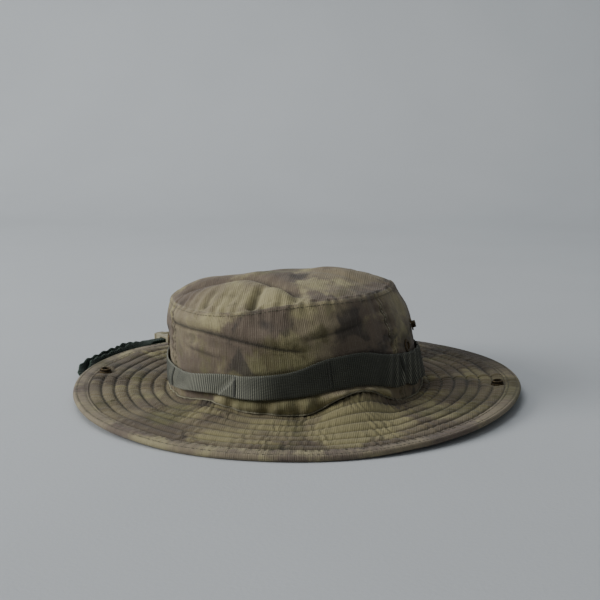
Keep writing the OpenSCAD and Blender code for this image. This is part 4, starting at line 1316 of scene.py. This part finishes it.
def make_anchors():
    low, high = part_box("strap_anchor_tabs")
    reach = high.x / MM
    top, bottom = high.z / MM, low.z / MM
    for name, side, y in (("strap_anchor_tab_left", -1, 7.0), ("strap_anchor_tab_right", 1, -7.0)):
        w = np.linspace(0.2, math.pi / 2, 7)
        bend = spread(reach - 2.9 + 2.5 * np.cos(w), bottom + 3.0 - 2.5 * np.sin(w))
        tail = [(reach - 7, bottom + 0.45), (reach - 11.8, bottom + 0.4)]
        path = np.array([(reach - 0.4, top), (reach - 0.4, bottom + 4.0), *bend, *tail])
        ahead = unit(np.gradient(path, axis=0))
        normal = spread(-ahead[:, 1], ahead[:, 0])
        across = np.linspace(-5.4, 5.4, 12)
        curl = 0.075 * np.cos(across / 5.4 * math.pi)
        legs = (path + normal * off for off in (0.38, -0.38))
        sheets = [spread(side * (leg[:, None, 0] + curl), y + across[None, :], leg[:, None, 1]) for leg in legs]
        uv = spread(across[None, :], lengths(path)[:, None])
        tab = shell(name, *sheets, uv)
        dress(tab, "cotton", "cotton_tape", "hat", "strap_anchor_tabs")


make_anchors()

# ---- Hardware that the CAD part shows as it is ----

SNAP_PARTS = ("crown_snap_stud", "snap_socket", "snap_cap")
SNAPS = [f"{part}_{side}" for part in SNAP_PARTS for side in ("left", "right")]
CARRIED = {
    "brass": ["vent_eyelets", *SNAPS],
    "steel": ["vent_washers", "crown_snap_post_left", "crown_snap_post_right"],
}
for material, nodes in CARRIED.items():
    for node in nodes:
        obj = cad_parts[node]
        obj.data.materials.clear()
        obj.data.materials.append(M[material])
        obj.data.set_sharp_from_angle(angle=math.radians(35))

# ---- Floor and light ----


def make_floor():
    n = Nodes("floor")
    where = n.place(uv=False)
    soft = n.noise(where, 6, 3, 0.5)
    n.bump((n.noise(where, 400, 3), 0.15))
    n.finish(n.mix(soft, (0.47, 0.495, 0.515), (0.52, 0.545, 0.565)), 0.85)
    reach, back, bend = 3200, 1500, 500
    w = np.linspace(0.1, math.pi / 2, 16)
    curve = spread(back - bend + bend * np.sin(w), bend - bend * np.cos(w))
    path = np.array([(-reach, 0.0), (back - bend, 0.0), *curve, (back, 2600.0)])
    x = np.linspace(-reach, reach, 9)
    points = spread(x[None, :], path[:, None, 0], path[:, None, 1]).reshape(-1, 3)
    floor = new_mesh("floor", points, quads(len(path), len(x)).tolist(), points[:, :2], sharp=0)
    floor.data.materials.append(n.material)


make_floor()


def area_light(name, place, aim, size, power, colour):
    data = bpy.data.lights.new(name, "AREA")
    data.shape, data.size, data.energy, data.color = "DISK", size, power, colour
    obj = placed(name, data)
    obj.location = place
    obj.rotation_mode = "QUATERNION"
    obj.rotation_quaternion = (Vector(aim) - Vector(place)).to_track_quat("-Z", "Y")


area_light("key", (-2.1, -0.75, 1.05), (0, 0, 0.04), 1.1, 46, (1.0, 0.995, 0.98))
area_light("top", (-0.5, 0.6, 1.9), (0, 0, 0), 1.6, 9, (0.97, 0.985, 1.0))
area_light("wall", (-0.9, -0.2, 2.2), (0, 1.5, 0.7), 1.6, 12, (1.0, 1.0, 0.99))

world = bpy.data.worlds.new("world")
bpy.context.scene.world = world
world.use_nodes = True
world.node_tree.nodes["Background"].inputs["Color"].default_value = (0.92, 0.96, 1.0, 1)
world.node_tree.nodes["Background"].inputs["Strength"].default_value = 0.22

bpy.context.view_layer.update()
